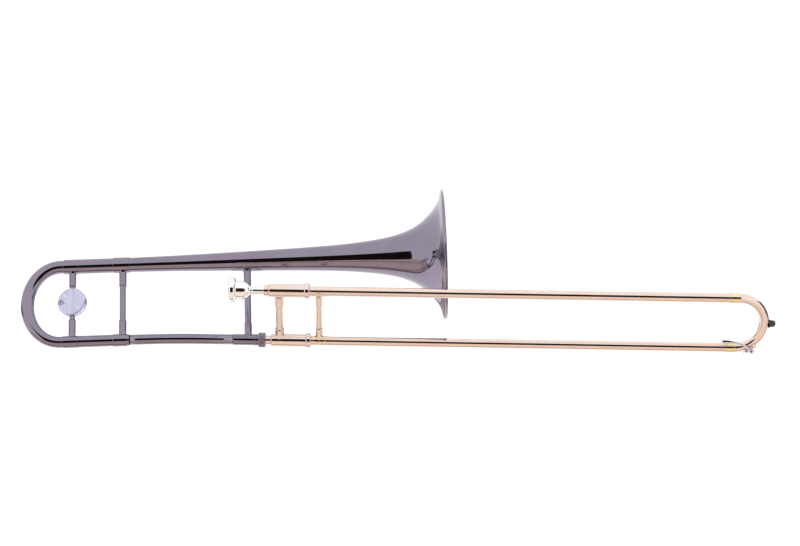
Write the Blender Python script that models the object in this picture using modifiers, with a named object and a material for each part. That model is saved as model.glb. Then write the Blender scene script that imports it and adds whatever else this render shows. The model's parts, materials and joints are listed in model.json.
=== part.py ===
"""Straight tenor trombone, built as its real brazed tubes, slides, braces and fittings.

Blender works in metres with +Z up. Lengths in this file are written in millimetres and MM turns
them into metres where a mesh is made.

Frame: the origin lies on the axis of the lower slide tube, inside the lock nut that joins the bell
section to the hand slide, which is where the left hand holds the instrument. +X runs along the hand
slide towards its bow. The hand slide and the bell section lie in two planes that both hold the X
axis: the slide plane leans towards -Y and the bell plane towards +Y.
"""

import math

import bmesh
import bpy
from mathutils import Matrix, Vector

MM = 0.001

# Planes and the rake of the bell, in degrees.
SLIDE_LEAN = 31.0
BELL_LEAN = 19.5
LEG_RAKE = 3.05

# Gap left between pieces that touch on the real instrument.
FIT = 0.3

# Faces round a small tube, a larger tube and the bell.
SMALL_ROUND = 14
ROUND = 16
BELL_ROUND = 28

# Hand slide: the lower tube lies on the X axis and the upper tube above it in the slide plane.
SLIDE_SPACING = 91.4
BORE_R = 6.35
INNER_R = 6.65
STOCKING_R = 6.82
STOCKING_LENGTH = 100.0
INNER_END = 732.0
OUTER_BORE_R = 7.05
OUTER_R = 7.4
OUTER_START = 30.3
OUTER_END = 737.0
SLEEVE_R = 8.0
SLEEVE_END = 76.6
BARREL_BORE_R = 9.6
BARREL_R = 10.35
BARREL_START = 14.3
BARREL_END = 69.0
RING_R = 12.3
RING_LENGTH = 7.6
BOW_START = 737.4
BOW_CENTRE_X = 743.5
BOW_DEPTH = 42.9
BOW_R = 7.4
BOW_WALL = 0.6
BOW_FERRULE = (730.0, 744.5)
BOW_FERRULE_R = 8.15

# Mouthpiece end of the upper tube.
MOUTH_RECEIVER = (4.5, 11.7)
SHANK_R = 5.85
SHANK_TAPER = 0.025
SHANK_END = 29.5

# Joint between bell section and hand slide.
RECEIVER_START = -45.0
RECEIVER_R = 8.7
NUT = (-5.8, 6.0)
NUT_R = 11.65
TENON_R = 7.5

# Bell section, in the raked leg frame: distance along the legs, distance from the X axis.
LEG_LOW = 7.6
LEG_SPACING = 125.5
LEG_HIGH = LEG_LOW + LEG_SPACING
STEM_START = -212.5
LEG_END = -213.5
SLEEVE_FROM = -289.0
FIXED_FERRULE = (-234.0, -208.5)
MOVING_FERRULE = (-312.5, -289.3)
TUNING_BOW_CENTRE = -317.4
TUNING_BOW_DEPTH = 52.5
TUNING_BOW_END = -300.8
GOOSENECK_R = 8.0
GOOSENECK_WALL = 0.5
GOOSENECK_END = -32.0
GOOSENECK_BEND = 50.0
BELL_WALL = 0.55
RIM_BEAD_R = 2.1
RIM_CENTRE = (292.1, 101.6)

# Bell outline as (distance along the bell, outer radius), stem to rim.
BELL_STEM = [(STEM_START, 11.3), (-130.0, 12.6), (-66.0, 14.3), (0.0, 16.2), (62.0, 18.2)]
BELL_FLARE = [(110.0, 20.3), (150.0, 23.2), (185.0, 27.4), (211.0, 32.2), (232.0, 38.6),
              (250.0, 47.4), (264.0, 58.4), (276.0, 71.2), (284.5, 84.6), (288.4, 98.2)]

# Radii of the two sides of the tuning slide: bow, inner leg, outer sleeve and ferrules.
LOW_SIDE = {"bow": 8.75, "leg": 8.35, "sleeve": 9.1, "moving": 9.5, "fixed": 9.85}
HIGH_SIDE = {"bow": 10.3, "leg": 10.75, "sleeve": 11.5, "moving": 11.6, "fixed": 12.4}
TUBE_WALL = 0.45

# Braces: place along the frame, rod radius, socket radius, and where each socket ends.
TUNING_BRACE = {"x": -298.8, "rod": 4.3, "socket": 5.5, "low_end": 44.0, "high_end": 98.5}
MIDDLE_BRACE = {"x": -219.2, "rod": 4.8, "socket": 5.8, "low_end": 40.5, "high_end": 97.0}
FRONT_BRACE = {"x": -21.4, "rod": 5.1, "socket": 5.85, "low_end": 29.0, "high_end": 93.0}
GRIP_BRACE = {"x": 28.0, "rod": 5.9, "socket": 6.85, "low_end": 22.6, "high_end": 64.0}
SLIDE_BRACE = {"x": 90.0, "rod": 4.4, "socket": 5.3, "low_end": 24.8, "high_end": 64.3}

# Balance weight: two halves clamped round the tuning brace.
WEIGHT_R = 22.6
WEIGHT_HALF = 6.3
WEIGHT_HEIGHT = 72.6
WEIGHT_TURN = -12.6
WEIGHT_SCREW_X = -17.0

# Water key on the lower bend of the slide bow. The angles are in degrees: how far round the bow it
# sits, and how far the hinge and the nipple lean from the bow's front towards its outside.
KEY_BEND = 30.0
KEY_HINGE_LEAN = 10.0
KEY_HINGE_OUT = 11.2
NIPPLE_LEAN = 62.0
NIPPLE_TOP = 10.9
KEY_BARREL_R = 2.3
KEY_PIN_R = 0.95
KEY_BARREL_HALF = 6.8
KEY_POST_AT = 8.7

PARTS = "trombone"
CUTTERS = "trombone_cutters"

FINISHES = {
    "black_nickel": ((0.27, 0.24, 0.30, 1.0), 1.0, 0.08),
    "rose_lacquer": ((0.75, 0.63, 0.58, 1.0), 1.0, 0.08),
    "yellow_brass": ((0.82, 0.66, 0.42, 1.0), 1.0, 0.10),
    "nickel_silver": ((0.72, 0.68, 0.72, 1.0), 1.0, 0.20),
    "silver_plate": ((0.92, 0.91, 0.93, 1.0), 1.0, 0.10),
    "satin_silver": ((0.60, 0.60, 0.78, 1.0), 1.0, 0.32),
    "spring_steel": ((0.40, 0.40, 0.46, 1.0), 1.0, 0.30),
    "black_rubber": ((0.03, 0.03, 0.03, 1.0), 0.0, 0.60),
    "cork": ((0.62, 0.45, 0.28, 1.0), 0.0, 0.85),
    "felt": ((0.45, 0.08, 0.08, 1.0), 0.0, 0.95),
}


# ---------------------------------------------------------------- scene, frames and materials

def clear_scene():
    for item in list(bpy.data.objects):
        bpy.data.objects.remove(item, do_unlink=True)


def make_collection(name):
    collection = bpy.data.collections.new(name)
    bpy.context.scene.collection.children.link(collection)
    return collection


def make_material(name):
    color, metallic, roughness = FINISHES[name]
    material = bpy.data.materials.new(name)
    material.use_nodes = True
    shader = material.node_tree.nodes["Principled BSDF"]
    shader.inputs["Base Color"].default_value = color
    shader.inputs["Metallic"].default_value = metallic
    shader.inputs["Roughness"].default_value = roughness
    material.diffuse_color = color
    return material


def make_frame(name, matrix, parent=None):
    """An empty that carries the pieces laid out in its own axes."""
    empty = bpy.data.objects.new(name, None)
    bpy.data.collections[PARTS].objects.link(empty)
    empty.parent = parent
    empty.matrix_local = matrix
    return empty


def add_object(name, mesh, finish, parent, matrix=None):
    """Link a mesh as a part, or as a cutter when it has no finish."""
    item = bpy.data.objects.new(name, mesh)
    home = bpy.data.collections[PARTS if finish else CUTTERS]
    home.objects.link(item)
    item.parent = parent
    item.matrix_local = matrix or Matrix.Identity(4)
    if finish:
        mesh.materials.append(bpy.data.materials[finish])
    else:
        item.hide_render = True
        item.display_type = "WIRE"
    return item


# ---------------------------------------------------------------- shapes

def turned(name, outer, inner, finish, parent, matrix=None, steps=ROUND):
    """Turn a profile round local Z. Both lists hold (height, radius) from low to high.

    With an empty inner list the piece is solid. The outline runs down the outer side and back up
    the bore.
    """
    if inner:
        outline = outer[::-1] + inner
    else:
        outline = [(outer[-1][0], 0.0)] + outer[::-1] + [(outer[0][0], 0.0)]
    mesh = bpy.data.meshes.new(name)
    corners = [(radius * MM, 0.0, height * MM) for height, radius in outline]
    edges = [(i, i + 1) for i in range(len(corners) - 1)]
    if inner:
        edges.append((len(corners) - 1, 0))
    mesh.from_pydata(corners, edges, [])
    item = add_object(name, mesh, finish, parent, matrix)
    screw = item.modifiers.new("turn", "SCREW")
    screw.axis = "Z"
    screw.steps = screw.render_steps = steps
    screw.use_merge_vertices = True
    screw.merge_threshold = 0.00001
    return item


def along_x(height=0.0):
    """Placement that lays a turned piece along its frame's X axis at a height above it."""
    return Matrix.Translation((0.0, 0.0, height * MM)) @ Matrix.Rotation(math.pi / 2, 4, "Y")


def upright(x):
    """Placement that stands a turned piece along its frame's Z axis at a distance along X."""
    return Matrix.Translation((x * MM, 0.0, 0.0))


def tube(name, span, outer_r, inner_r, finish, parent, height=0.0, steps=ROUND):
    """A plain straight tube along its frame's X axis."""
    outer = [(span[0], outer_r), (span[1], outer_r)]
    inner = [(span[0], inner_r), (span[1], inner_r)]
    return turned(name, outer, inner, finish, parent, along_x(height), steps)


def ferrule(name, span, outer_r, inner_r, finish, parent, height=0.0, steps=ROUND):
    """A short tube with a small chamfer on both outer edges."""
    chamfer = min(0.6, 0.45 * (outer_r - inner_r))
    low, high = span
    outer = [(low, outer_r - chamfer), (low + chamfer, outer_r),
             (high - chamfer, outer_r), (high, outer_r - chamfer)]
    inner = [(low, inner_r), (high, inner_r)]
    return turned(name, outer, inner, finish, parent, along_x(height), steps)


def to_mesh_object(curve_item, name, finish, parent, matrix=None):
    """Replace a curve object with the welded mesh it shows, placed in its parent's frame."""
    bpy.context.view_layer.update()
    evaluated = curve_item.evaluated_get(bpy.context.evaluated_depsgraph_get())
    mesh = bpy.data.meshes.new_from_object(evaluated)
    mesh.name = name
    welded = bmesh.new()
    welded.from_mesh(mesh)
    bmesh.ops.remove_doubles(welded, verts=welded.verts, dist=0.000001)
    bmesh.ops.recalc_face_normals(welded, faces=welded.faces)
    welded.to_mesh(mesh)
    welded.free()
    mesh.materials.clear()
    bpy.data.objects.remove(curve_item, do_unlink=True)
    return add_object(name, mesh, finish, parent, matrix)


def swept(name, path, radii, finish, parent, capped, sides=ROUND):
    """Sweep a round section along a path; the points are in the frame's own axes."""
    curve = bpy.data.curves.new(name, "CURVE")
    curve.dimensions = "3D"
    curve.bevel_depth = MM
    curve.bevel_resolution = (sides - 4) // 2
    curve.use_fill_caps = capped
    spline = curve.splines.new("POLY")
    spline.points.add(len(path) - 1)
    for knot, place, radius in zip(spline.points, path, radii):
        knot.co = (place[0] * MM, place[1] * MM, place[2] * MM, 1.0)
        knot.radius = radius
    guide = bpy.data.objects.new(name + "_guide", curve)
    bpy.data.collections[CUTTERS].objects.link(guide)
    return to_mesh_object(guide, name, finish, parent)


def bent_tube(name, path, radii, wall, finish, parent, sides=ROUND):
    """An open tube along a path, with its wall growing inwards from the outer radius."""
    item = swept(name, path, radii, finish, parent, False, sides)
    shell = item.modifiers.new("wall", "SOLIDIFY")
    shell.thickness = wall * MM
    shell.offset = -1.0
    return item


def slab(name, outline, low, high, finish, parent, matrix=None):
    """A flat outline in local XY, filled from one height to another."""
    curve = bpy.data.curves.new(name, "CURVE")
    curve.dimensions = "2D"
    curve.fill_mode = "BOTH"
    curve.extrude = 0.5 * (high - low) * MM
    spline = curve.splines.new("POLY")
    spline.points.add(len(outline) - 1)
    spline.use_cyclic_u = True
    for knot, (x, y) in zip(spline.points, outline):
        knot.co = (x * MM, y * MM, 0.0, 1.0)
    guide = bpy.data.objects.new(name + "_guide", curve)
    bpy.data.collections[CUTTERS].objects.link(guide)
    lift = Matrix.Translation((0.0, 0.0, 0.5 * (low + high) * MM))
    return to_mesh_object(guide, name, finish, parent, (matrix or Matrix.Identity(4)) @ lift)


def rod(name, span, radius, finish, parent, matrix=None, steps=ROUND):
    """A solid cylinder along local Z, from a primitive."""
    mesh = bpy.data.meshes.new(name)
    solid = bmesh.new()
    centre = Matrix.Translation((0.0, 0.0, 0.5 * (span[0] + span[1]) * MM))
    bmesh.ops.create_cone(solid, cap_ends=True, segments=steps, radius1=radius * MM,
                          radius2=radius * MM, depth=(span[1] - span[0]) * MM, matrix=centre)
    solid.to_mesh(mesh)
    solid.free()
    return add_object(name, mesh, finish, parent, matrix)


def combine(item, other, operation):
    """Boolean one object with another."""
    step = item.modifiers.new(operation.lower() + "_" + other.name, "BOOLEAN")
    step.operation = operation
    step.solver = "EXACT"
    step.object = other
    return item


def ellipse(length, width, count):
    turns = [2.0 * math.pi * i / count for i in range(count)]
    return [(0.5 * length * math.cos(t), 0.5 * width * math.sin(t)) for t in turns]


def pointed_oval(length, width, count):
    """Two equal arcs that meet in a point at each end of the length."""
    half, rise = 0.5 * length, 0.5 * width
    radius = (half * half + rise * rise) / (2.0 * rise)
    reach = math.asin(half / radius)
    arc = [-reach + 2.0 * reach * i / count for i in range(count)]
    top = [(radius * math.sin(t), radius * math.cos(t) - radius + rise) for t in arc]
    return top + [(-x, -y) for x, y in top]


def smooth(points, per_span):
    """Catmull-Rom curve through 2D points, with per_span points for each stretch."""
    places = [Vector(p) for p in points]
    places = [2 * places[0] - places[1]] + places + [2 * places[-1] - places[-2]]
    result = []
    for before, start, end, after in zip(places, places[1:], places[2:], places[3:]):
        for i in range(per_span):
            t = i / per_span
            place = 0.5 * (2 * start + (end - before) * t
                           + (2 * before - 5 * start + 4 * end - after) * t * t
                           + (3 * start - before - 3 * end + after) * t ** 3)
            result.append(place)
    result.append(places[-2])
    return result


def offset_line(points, distance):
    """Move a 2D line sideways, to the left of its direction."""
    moved = []
    last = len(points) - 1
    for i, place in enumerate(points):
        run = points[min(i + 1, last)] - points[max(i - 1, 0)]
        side = Vector((-run.y, run.x)).normalized()
        moved.append(place + distance * side)
    return moved


# ---------------------------------------------------------------- bell section

def bell_outline():
    stem = smooth(BELL_STEM + BELL_FLARE[:1], 1)[:-1]
    flare = smooth(BELL_STEM[-1:] + BELL_FLARE, 2)[1:]
    return stem + flare[1:]


def bell_radius(x):
    """Outer radius of the bell at a distance along it."""
    line = bell_outline()
    for start, end in zip(line, line[1:]):
        if start.x <= x <= end.x:
            share = (x - start.x) / (end.x - start.x)
            return start.y + share * (end.y - start.y)
    return line[0].y


def make_bell(legs):
    line = bell_outline()
    bead = []
    for turn in (150.0, 100.0, 55.0, 10.0, -35.0, -80.0, -110.0):
        angle = math.radians(turn)
        bead.append((RIM_CENTRE[0] + RIM_BEAD_R * math.cos(angle),
                     RIM_CENTRE[1] + RIM_BEAD_R * math.sin(angle)))
    outer = [tuple(p) for p in line] + bead
    inner = [tuple(p) for p in offset_line(line, -BELL_WALL)]
    turned("bell", outer, inner, "black_nickel", legs, along_x(LEG_HIGH), BELL_ROUND)


def make_tuning_sleeves(legs):
    """Outer tubes of the tuning slide and the ferrules that join them to bell and gooseneck."""
    for side, height, size in (("lower", LEG_LOW, LOW_SIDE), ("upper", LEG_HIGH, HIGH_SIDE)):
        bore = size["sleeve"] - TUBE_WALL
        tube(side + "_slide_sleeve", (SLEEVE_FROM, LEG_END), size["sleeve"], bore,
             "black_nickel", legs, height)
    low, high = FIXED_FERRULE
    neck = GOOSENECK_R + FIT
    outer = [(low, LOW_SIDE["fixed"] - 0.2), (low + 0.5, LOW_SIDE["fixed"]),
             (high - 4.5, LOW_SIDE["fixed"]), (high - 2.5, neck + 0.6), (high, neck + 0.5)]
    inner = [(low, LOW_SIDE["sleeve"] + FIT), (LEG_END + 0.3, LOW_SIDE["sleeve"] + FIT),
             (LEG_END + 0.6, neck), (high, neck)]
    turned("gooseneck_ferrule", outer, inner, "black_nickel", legs, along_x(LEG_LOW))
    ferrule("bell_stem_ferrule", FIXED_FERRULE, HIGH_SIDE["fixed"], HIGH_SIDE["sleeve"] + FIT,
            "black_nickel", legs, LEG_HIGH)


def gooseneck_path():
    """Points in the bell plane: down the raked lower leg, round a long bend, then along X."""
    rake = math.radians(LEG_RAKE)
    corner = -LEG_LOW / math.sin(rake)
    along = Vector((math.cos(rake), math.sin(rake)))
    start = Vector((math.cos(rake) * STEM_START - math.sin(rake) * LEG_LOW,
                    math.sin(rake) * STEM_START + math.cos(rake) * LEG_LOW))
    bend_from = Vector((corner, 0.0)) - GOOSENECK_BEND * along
    radius = GOOSENECK_BEND / math.tan(rake / 2)
    path = [start, bend_from]
    count = 4
    for i in range(1, count + 1):
        turn = rake * (1 - i / count)
        path.append(Vector((corner + GOOSENECK_BEND - radius * math.sin(turn),
                            -radius * (1 - math.cos(turn)))))
    path.append(Vector((GOOSENECK_END, 0.0)))
    return [(p.x, 0.0, p.y) for p in path]


def make_gooseneck(bell_frame):
    path = gooseneck_path()
    bent_tube("gooseneck", path, [GOOSENECK_R] * len(path), GOOSENECK_WALL, "black_nickel",
              bell_frame)
    start = RECEIVER_START
    outer = [(start, 8.45), (start + 0.5, RECEIVER_R), (-11.0, RECEIVER_R), (-10.8, 9.3),
             (-8.1, 9.3), (-7.9, 8.55), (-1.6, 8.55), (-1.0, 8.3)]
    inner = [(start, GOOSENECK_R + FIT), (-31.4, GOOSENECK_R + FIT), (-31.0, 7.05), (-1.0, 7.9)]
    turned("slide_receiver", outer, inner, "black_nickel", bell_frame, along_x())


# ---------------------------------------------------------------- braces

def make_socket(name, size, end, axis_height, finish, parent, saddle_cutter):
    """A tube from a leg's axis to the socket's open end, cut to sit on the leg."""
    chamfer = 0.7
    low, high = min(end, axis_height), max(end, axis_height)
    radius = size["socket"]
    bore = size["rod"] + FIT
    if end > axis_height:
        outer = [(low, radius), (high - chamfer, radius), (high, radius - 0.4)]
    else:
        outer = [(low, radius - 0.4), (low + chamfer, radius), (high, radius)]
    inner = [(low, bore), (high, bore)]
    item = turned(name, outer, inner, finish, parent, upright(size["x"]), SMALL_ROUND)
    combine(item, saddle_cutter, "DIFFERENCE")


def make_brace(prefix, size, low, high, finish, parent, waist=0.0):
    """A brace rod and its two sockets. low and high are (axis height, cutter) of each leg."""
    make_socket(prefix + "_lower_socket", size, size["low_end"], low[0], finish, parent, low[1])
    make_socket(prefix + "_upper_socket", size, size["high_end"], high[0], finish, parent, high[1])
    start, end = size["low_end"] - 7.0, size["high_end"] + 7.0
    middle = 0.5 * (start + end)
    quarter = 0.25 * (end - start)
    radius = size["rod"]
    outer = [(start, radius), (end, radius)]
    if waist:
        outer = [(start, radius), (start + 8.0, radius), (middle - quarter + 4.0, radius - waist),
                 (middle + quarter - 4.0, radius - waist), (end - 8.0, radius), (end, radius)]
    bore = radius - waist - 0.7
    turned(prefix + "_rod", outer, [(start, bore), (end, bore)], finish, parent,
           upright(size["x"]), SMALL_ROUND)


def leg_cutter(name, parent, height, radius, x, reach=16.0):
    """A round cutter that stands for a tube lying along X."""
    return rod(name, (x - reach, x + reach), radius, None, parent, along_x(height), 24)


def make_bell_braces(legs, bell_frame):
    x = TUNING_BRACE["x"]
    low = leg_cutter("cut_tuning_low", legs, LEG_LOW, LOW_SIDE["moving"] + FIT, x)
    high = leg_cutter("cut_tuning_high", legs, LEG_HIGH, HIGH_SIDE["moving"] + FIT, x)
    make_brace("tuning_brace", TUNING_BRACE, (LEG_LOW, low), (LEG_HIGH, high), "black_nickel", legs)

    x = MIDDLE_BRACE["x"]
    low = leg_cutter("cut_middle_low", legs, LEG_LOW, LOW_SIDE["fixed"] + FIT, x)
    high = leg_cutter("cut_middle_high", legs, LEG_HIGH, HIGH_SIDE["fixed"] + FIT, x)
    make_brace("middle_brace", MIDDLE_BRACE, (LEG_LOW, low), (LEG_HIGH, high), "black_nickel", legs)

    x = FRONT_BRACE["x"]
    plate = 0.8
    low = leg_cutter("cut_front_low", bell_frame, 0.0, RECEIVER_R + FIT, x)
    reach = bell_radius(x) + FIT + plate + FIT + 0.3
    high = leg_cutter("cut_front_high", legs, LEG_HIGH, reach, x)
    make_brace("front_brace", FRONT_BRACE, (1.2, low), (LEG_HIGH, high), "black_nickel", legs)
    make_bell_flange(legs, x, plate)


def make_bell_flange(legs, x, plate):
    """Long pointed plate that spreads the front brace's load on the bell's underside."""
    length, width = 51.0, 17.0
    ends = (x - 0.5 * length - 2.0, x + 0.5 * length + 2.0)
    outer = [(e, bell_radius(e) + FIT + plate) for e in ends]
    inner = [(e, bell_radius(e) + FIT) for e in ends]
    item = turned("bell_brace_flange", outer, inner, "black_nickel", legs, along_x(LEG_HIGH), 32)
    outline = [(x + u, v) for u, v in pointed_oval(length, width, 10)]
    keep = slab("keep_bell_flange", outline, LEG_HIGH - 22.0, LEG_HIGH - 4.0, None, legs)
    combine(item, keep, "INTERSECT")


# ---------------------------------------------------------------- tuning slide

def tuning_bow_path():
    """Half an ellipse between the two legs, with its radius growing on the gooseneck side."""
    count = 14
    middle = 0.5 * (LEG_LOW + LEG_HIGH)
    path = [(TUNING_BOW_END, 0.0, LEG_LOW)]
    radii = [LOW_SIDE["bow"]]
    for i in range(count + 1):
        share = i / count
        turn = math.pi * share
        path.append((TUNING_BOW_CENTRE - TUNING_BOW_DEPTH * math.sin(turn), 0.0,
                     middle - 0.5 * LEG_SPACING * math.cos(turn)))
        growth = min(1.0, share / 0.5)
        radii.append(LOW_SIDE["bow"] + growth * (HIGH_SIDE["bow"] - LOW_SIDE["bow"]))
    path.append((TUNING_BOW_END, 0.0, LEG_HIGH))
    radii.append(HIGH_SIDE["bow"])
    return path, radii


def make_tuning_slide(legs):
    path, radii = tuning_bow_path()
    bent_tube("tuning_bow", path, radii, 0.55, "black_nickel", legs)
    for side, height, size in (("lower", LEG_LOW, LOW_SIDE), ("upper", LEG_HIGH, HIGH_SIDE)):
        bore = max(size["bow"], size["leg"]) + 0.25
        ferrule("tuning_" + side + "_ferrule", MOVING_FERRULE, size["moving"], bore,
                "black_nickel", legs, height)
        tube("tuning_" + side + "_leg", (TUNING_BOW_END + FIT, LEG_END - 1.5), size["leg"],
             size["leg"] - TUBE_WALL, "nickel_silver", legs, height)


def make_weight(legs):
    """Disc weight in two halves, clamped on the brace by one screw near its edge."""
    x = TUNING_BRACE["x"]
    stand = Matrix.Translation((x * MM, 0.0, WEIGHT_HEIGHT * MM))
    turn = Matrix.Rotation(math.radians(WEIGHT_TURN), 4, "Z")
    face_on = stand @ turn @ Matrix.Rotation(math.pi / 2, 4, "X")
    groove = rod("cut_weight_groove", (-30.0, 30.0), TUNING_BRACE["rod"] + FIT, None, legs, stand)
    at_screw = face_on @ Matrix.Translation((WEIGHT_SCREW_X * MM, 0.0, 0.0))
    hole = rod("cut_screw_hole", (-WEIGHT_HALF - 1.0, WEIGHT_HALF + 1.0), 2.3, None, legs, at_screw)
    seat = rod("cut_screw_seat", (4.3, 8.0), 4.3, None, legs, at_screw)
    edge = 0.8
    spans = {"weight_front_half": (0.15, WEIGHT_HALF), "weight_back_half": (-WEIGHT_HALF, -0.15)}
    for name, (low, high) in spans.items():
        outer = [(low, WEIGHT_R), (high - edge, WEIGHT_R), (high, WEIGHT_R - edge)]
        if low < -1.0:
            outer = [(low, WEIGHT_R - edge), (low + edge, WEIGHT_R), (high, WEIGHT_R)]
        item = turned(name, outer, [], "satin_silver", legs, face_on, 28)
        combine(item, groove, "DIFFERENCE")
        combine(item, hole, "DIFFERENCE")
        if low > 0.0:
            combine(item, seat, "DIFFERENCE")
    profile = [(-4.5, 2.0), (4.6, 2.0), (4.6, 4.0), (5.7, 4.0), (6.1, 3.5)]
    turned("weight_screw", profile, [], "spring_steel", legs, at_screw, SMALL_ROUND)


# ---------------------------------------------------------------- hand slide, inner half

def make_inner_slide(slide):
    for side, height, start in (("lower", 0.0, 3.6), ("upper", SLIDE_SPACING, BARREL_START + 0.6)):
        stocking = INNER_END - STOCKING_LENGTH
        outer = [(start, INNER_R), (stocking - 1.0, INNER_R), (stocking, STOCKING_R),
                 (INNER_END - 0.5, STOCKING_R), (INNER_END, STOCKING_R - 0.2)]
        inner = [(start, BORE_R), (INNER_END, BORE_R)]
        turned(side + "_inner_tube", outer, inner, "nickel_silver", slide, along_x(height),
               SMALL_ROUND)
        ferrule(side + "_slide_felt", (BARREL_START + 3.3, OUTER_START - FIT), BARREL_BORE_R - FIT,
                INNER_R + FIT, "felt", slide, height, SMALL_ROUND)
    make_barrels(slide)
    make_tenon(slide)
    make_mouthpiece_receiver(slide)


def barrel_profile(shift):
    """Cork barrel up to the place of its end ring, with a rounded closed end."""
    start = BARREL_START + shift
    outer = [(start, BARREL_R - 1.4), (start + 0.5, BARREL_R - 0.5), (start + 1.5, BARREL_R)]
    inner = [(start, INNER_R + FIT), (start + 2.8, INNER_R + FIT), (start + 3.0, BARREL_BORE_R)]
    return outer, inner


def ring_arc(low, high, edge_r):
    """Rounded bead from one edge to the other."""
    middle, half = 0.5 * (low + high), 0.5 * (high - low)
    arc = []
    for turn in (145.0, 110.0, 70.0, 35.0):
        angle = math.radians(turn)
        arc.append((middle + half * math.cos(angle), edge_r + (RING_R - edge_r) * math.sin(angle)))
    return [(low, edge_r)] + arc + [(high, edge_r)]


def make_barrels(slide):
    outer, inner = barrel_profile(0.0)
    outer += [(BARREL_END, BARREL_R), (BARREL_END + 0.05, 9.95), (BARREL_END + 1.9, 9.95)]
    inner += [(BARREL_END + 1.9, BARREL_BORE_R)]
    turned("lower_cork_barrel", outer, inner, "rose_lacquer", slide, along_x())

    end = BARREL_END - 1.4
    outer, inner = barrel_profile(-2.2)
    outer += [(end, BARREL_R)] + ring_arc(end + 0.1, end + 0.1 + RING_LENGTH, 10.6)
    inner += [(end + RING_LENGTH - 2.0, BARREL_BORE_R), (end + RING_LENGTH - 1.8, SLEEVE_R + 0.5),
              (end + 0.1 + RING_LENGTH, SLEEVE_R + 0.5)]
    turned("upper_cork_barrel", outer, inner, "rose_lacquer", slide, along_x(SLIDE_SPACING))


def make_lock_ring(slide):
    """Turning ring on the lower barrel. A notch in its lip lets the slide's stud out."""
    low = BARREL_END + FIT
    high = low + RING_LENGTH
    inner = [(low, 10.25), (high - 1.9, 10.25), (high - 1.8, SLEEVE_R + 0.5),
             (high, SLEEVE_R + 0.5)]
    ring = turned("slide_lock_ring", ring_arc(low, high, 10.8), inner, "rose_lacquer", slide,
                  along_x())
    notch = rod("cut_lock_notch", (SLEEVE_R - 1.0, 10.1), 2.2, None, slide,
                Matrix.Translation((high * MM, 0.0, 0.0)) @ Matrix.Rotation(-math.pi / 2, 4, "X"), 4)
    combine(ring, notch, "DIFFERENCE")


def make_tenon(slide):
    """Tapered tenon of the hand slide, with the flange that the lock nut draws in."""
    outer = [(-30.0, 6.75), (-0.7, 7.55), (-0.6, 8.5), (1.2, 8.5), (1.3, TENON_R),
             (14.0, TENON_R)]
    inner = [(-30.0, BORE_R), (3.0, BORE_R), (3.2, INNER_R + FIT), (14.0, INNER_R + FIT)]
    turned("slide_tenon", outer, inner, "rose_lacquer", slide, along_x())


def make_lock_nut(slide):
    low, high = NUT
    outer = [(low, NUT_R - 1.4), (low + 0.5, NUT_R - 0.4), (low + 1.6, NUT_R),
             (high - 1.6, NUT_R), (high - 0.5, NUT_R - 0.4), (high, NUT_R - 1.4)]
    inner = [(low, 8.95), (1.5, 8.95), (1.6, TENON_R + 0.35), (high, TENON_R + 0.35)]
    turned("bell_lock_nut", outer, inner, "black_nickel", slide, along_x())


def make_mouthpiece_receiver(slide):
    low, high = MOUTH_RECEIVER
    outer = [(low, 8.0), (low + 0.3, 8.3), (high - 0.3, 8.3), (high, 8.0)]
    turned("mouthpiece_receiver", outer, [(low, 6.15), (high, 6.15)], "rose_lacquer", slide,
           along_x(SLIDE_SPACING))
    start = high + FIT
    outer = [(start, 6.15), (180.0, 6.15)]
    inner = [(start, 5.92), (SHANK_END + 1.0, 5.5), (55.0, 5.15), (180.0, 5.85)]
    turned("leadpipe", outer, inner, "yellow_brass", slide, along_x(SLIDE_SPACING), SMALL_ROUND)


def make_mouthpiece(slide):
    """Cup mouthpiece: rounded rim, goblet cup, throat, backbore and tapered shank."""
    rim_face = -50.0
    shank = MOUTH_RECEIVER[0]
    end_r = SHANK_R - SHANK_TAPER * (SHANK_END - shank)
    outer = [(rim_face + 0.7, 17.6), (rim_face + 2.3, 19.0), (rim_face + 5.0, 19.7),
             (rim_face + 8.0, 19.3), (rim_face + 10.2, 17.0), (rim_face + 11.6, 13.9),
             (-28.0, 13.7), (-23.0, 11.9), (-19.5, 9.2), (-16.8, 6.6), (-14.2, 6.0),
             (-12.0, 6.8), (-10.0, 6.8), (-8.6, 6.4), (shank, SHANK_R), (SHANK_END, end_r)]
    inner = [(rim_face, 15.6), (rim_face + 0.6, 13.8), (rim_face + 2.6, 12.8),
             (rim_face + 10.0, 12.0), (-34.0, 10.2), (-29.0, 7.2), (-26.0, 4.2), (-24.0, 3.2),
             (-21.0, 3.2), (SHANK_END, 4.4)]
    turned("mouthpiece", outer, inner, "silver_plate", slide, along_x(SLIDE_SPACING), 20)


def make_grip_brace(slide):
    x = GRIP_BRACE["x"]
    low = leg_cutter("cut_grip_low", slide, 0.0, BARREL_R + FIT, x)
    high = leg_cutter("cut_grip_high", slide, SLIDE_SPACING, BARREL_R + FIT, x)
    make_brace("grip_brace", GRIP_BRACE, (0.0, low), (SLIDE_SPACING, high), "rose_lacquer", slide,
               0.35)


# ---------------------------------------------------------------- hand slide, outer half

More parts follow.
